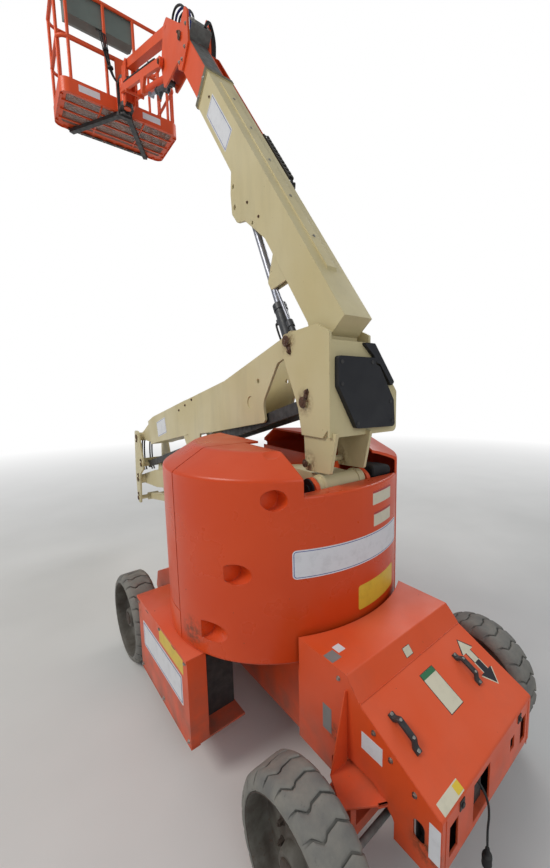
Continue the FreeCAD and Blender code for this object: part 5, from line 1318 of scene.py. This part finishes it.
# sections of the hub boot: y, half height, half depth
BOOT_SECTIONS = ((0.215, 0.030, 0.040), (0.222, 0.040, 0.050), (0.262, 0.046, 0.056), (0.268, 0.038, 0.048),
                 (0.300, 0.040, 0.052), (0.338, 0.030, 0.066), (0.346, 0.022, 0.058))
BOOT_SQUARENESS = 0.6


def make_boom_details():
    # Painted shade: dark olive films on the collar.
    collar_shade = Shape(BOOM)
    for low, high in COLLAR_SHADE_FILMS:
        collar_shade.block(low, high)
    collar_shade.done("collar_painted_shade", "olive_paint", "main_boom", "cream_paint")
    grey = Shape(BOOM)
    grey.block((2.42, -0.0665, 0.198), (2.862, 0.0665, 0.1982))
    grey.block((2.862, -0.0733, 0.292), (2.958, 0.0733, 0.298), 0.002)
    grey.block((2.856, -0.0733, 0.200), (2.862, 0.0733, 0.298), 0.001)
    grey.done("fly_top_plates", "grey_steel", "fly_boom", "grey_steel")
    for name, body, across, height, seats in TOP_BOLTS:
        bolts = Shape(BOOM)
        for seat in seats:
            bolts.bolt(seat, (0, 0, 1), across, height)
        bolts.done(name, "zinc", body, "grey_steel")


def make_hub_boot():
    """Rubber cover over the pipes beside the lower boom's hub, on the far side."""
    boot = Shape(UPPER)
    rings = []
    for y, high, deep in BOOT_SECTIONS:
        ring = []
        for c, t, _ in circle(1.0, 28):
            x = BOOT_AT[0] + deep * math.copysign(abs(c) ** BOOT_SQUARENESS, c)
            ring.append((x, y, BOOT_AT[1] + high * math.copysign(abs(t) ** BOOT_SQUARENESS, t)))
        rings.append(ring)
    boot.rows(rings)
    boot.done("hub_boot", "black_rubber", "turntable", "black_rubber", smooth_angle=30.0)


# Chassis

AXLE_TOP_PLATE = ((0.948, 0.300), (1.209, 0.330), (1.162, 0.409), (1.073, 0.522), (0.948, 0.466))
# turned-down lip of the axle's top plate: its ends outside and inside, x and y
AXLE_LIP = ((1.209, 0.330), (1.162, 0.409))
AXLE_LIP_Z = (0.449, 0.432)
# fin beside the hood: y and z
HOOD_FIN = ((0.3765, 0.775), (0.388, 0.775), (0.466, 0.449), (0.3765, 0.449))
# beads along the hood's folds on either side: two ends with y for the left, radius
HOOD_SIDE_FOLDS = (((0.966, 0.3774, 0.826), (1.026, 0.3774, 0.764), 0.0022),
                   ((1.034, 0.3774, 0.756), (1.404, 0.3774, 0.580), 0.0022),
                   ((1.4135, 0.352, 0.568), (1.4135, 0.352, 0.345), 0.0018))
CATCHES_Y = (-0.250, 0.250)
# rims of the side boxes: spans in x, y and z, bevel
BOX_LIDS = (((-0.618, 0.206), (0.500, 0.752), (0.6745, 0.6785), 0.0015),
            ((-0.618, 0.206), (0.7465, 0.7515), (0.660, 0.676), 0.001),
            ((-0.616, 0.204), (0.700, 0.748), (0.1815, 0.1855), 0.001))


def make_axle_plates():
    yokes = Shape()
    for side in (-1, 1):
        yokes.rows([[(x, side * y, z) for x, y in AXLE_TOP_PLATE] for z in (0.441, 0.449)])
        (x0, y0), (x1, y1) = AXLE_LIP
        top, low = AXLE_LIP_Z
        lip = [(x0, y0, top), (x1, y1, top), (x1, y1, low), (x0, y0, low)]
        yokes.add([(x - dx, side * (y - dy), z) for dx, dy in ((0, 0), (0.006, 0.003)) for x, y, z in lip],
                  [(0, 1, 2, 3), (7, 6, 5, 4), (0, 4, 5, 1), (1, 5, 6, 2), (2, 6, 7, 3), (3, 7, 4, 0)])
        yokes.rows([[(x, side * y, z) for y, z in HOOD_FIN] for x in (0.950, 0.957)])
    yokes.done("axle_top_plates", "orange_paint", "chassis", "orange_paint")


def make_chassis_details():
    make_axle_plates()
    seams = Shape()
    for side in (-1, 1):
        for start, end, radius in HOOD_SIDE_FOLDS:
            seams.tube([(x, side * y, z) for x, y, z in (start, end)], radius, 6)
    seams.tube([(1.0318, -0.374, 0.7612), (1.0318, 0.374, 0.7612)], 0.0022, 6)
    seams.done("hood_folds", "orange_paint", "chassis", "orange_paint")

    # Painted shade: black sheets across the hood's hollow nose, standing for the shade inside it.
    shade_sheets = Shape()
    shade_sheets.block((1.300, -0.366, 0.335), (1.303, 0.366, 0.600), 0.0005)
    shade_sheets.block((1.303, -0.366, 0.335), (1.403, 0.366, 0.338), 0.0005)
    for side in (-1, 1):
        shade_sheets.side_block(side, (1.303, 1.375), (0.335, 0.338), (0.395, 0.545), 0.0005)
    shade_sheets.done("hood_shade_sheets", "black_steel", "chassis", "black_steel")

    catches = Shape()
    for y in CATCHES_Y:
        catches.block((1.4125, y - 0.016, 0.528), (1.4165, y + 0.016, 0.566), 0.001)
        catches.rod((1.4165, y, 0.547), (1.4225, y, 0.547), 0.010, rim=0.0015)
    for side in (-1, 1):
        for x in (-0.42, 0.02):
            catches.side_block(side, (x - 0.022, x + 0.022), (BOX_SIDE, BOX_SIDE + 0.004), (0.650, 0.668), 0.0015)
    catches.done("chassis_catches", "black_steel", "chassis", "black_steel")

    lids = Shape()
    for side in (-1, 1):
        for spans in BOX_LIDS:
            lids.side_block(side, *spans)
    lids.done("box_lids", "orange_paint", "chassis", "orange_paint")


dress_frame()
make_camera()
make_cord()
make_world()
make_floor()
make_lamps()
for wheel in WHEELS:
    make_wheel(wheel)
make_drum_plates()
make_hood_plates()
make_side_plates()
make_pins()
make_bolts()
make_power_track()
make_platform_floor()
make_platform_details()
make_hoses()
make_boom_details()
make_hub_boot()
make_chassis_details()
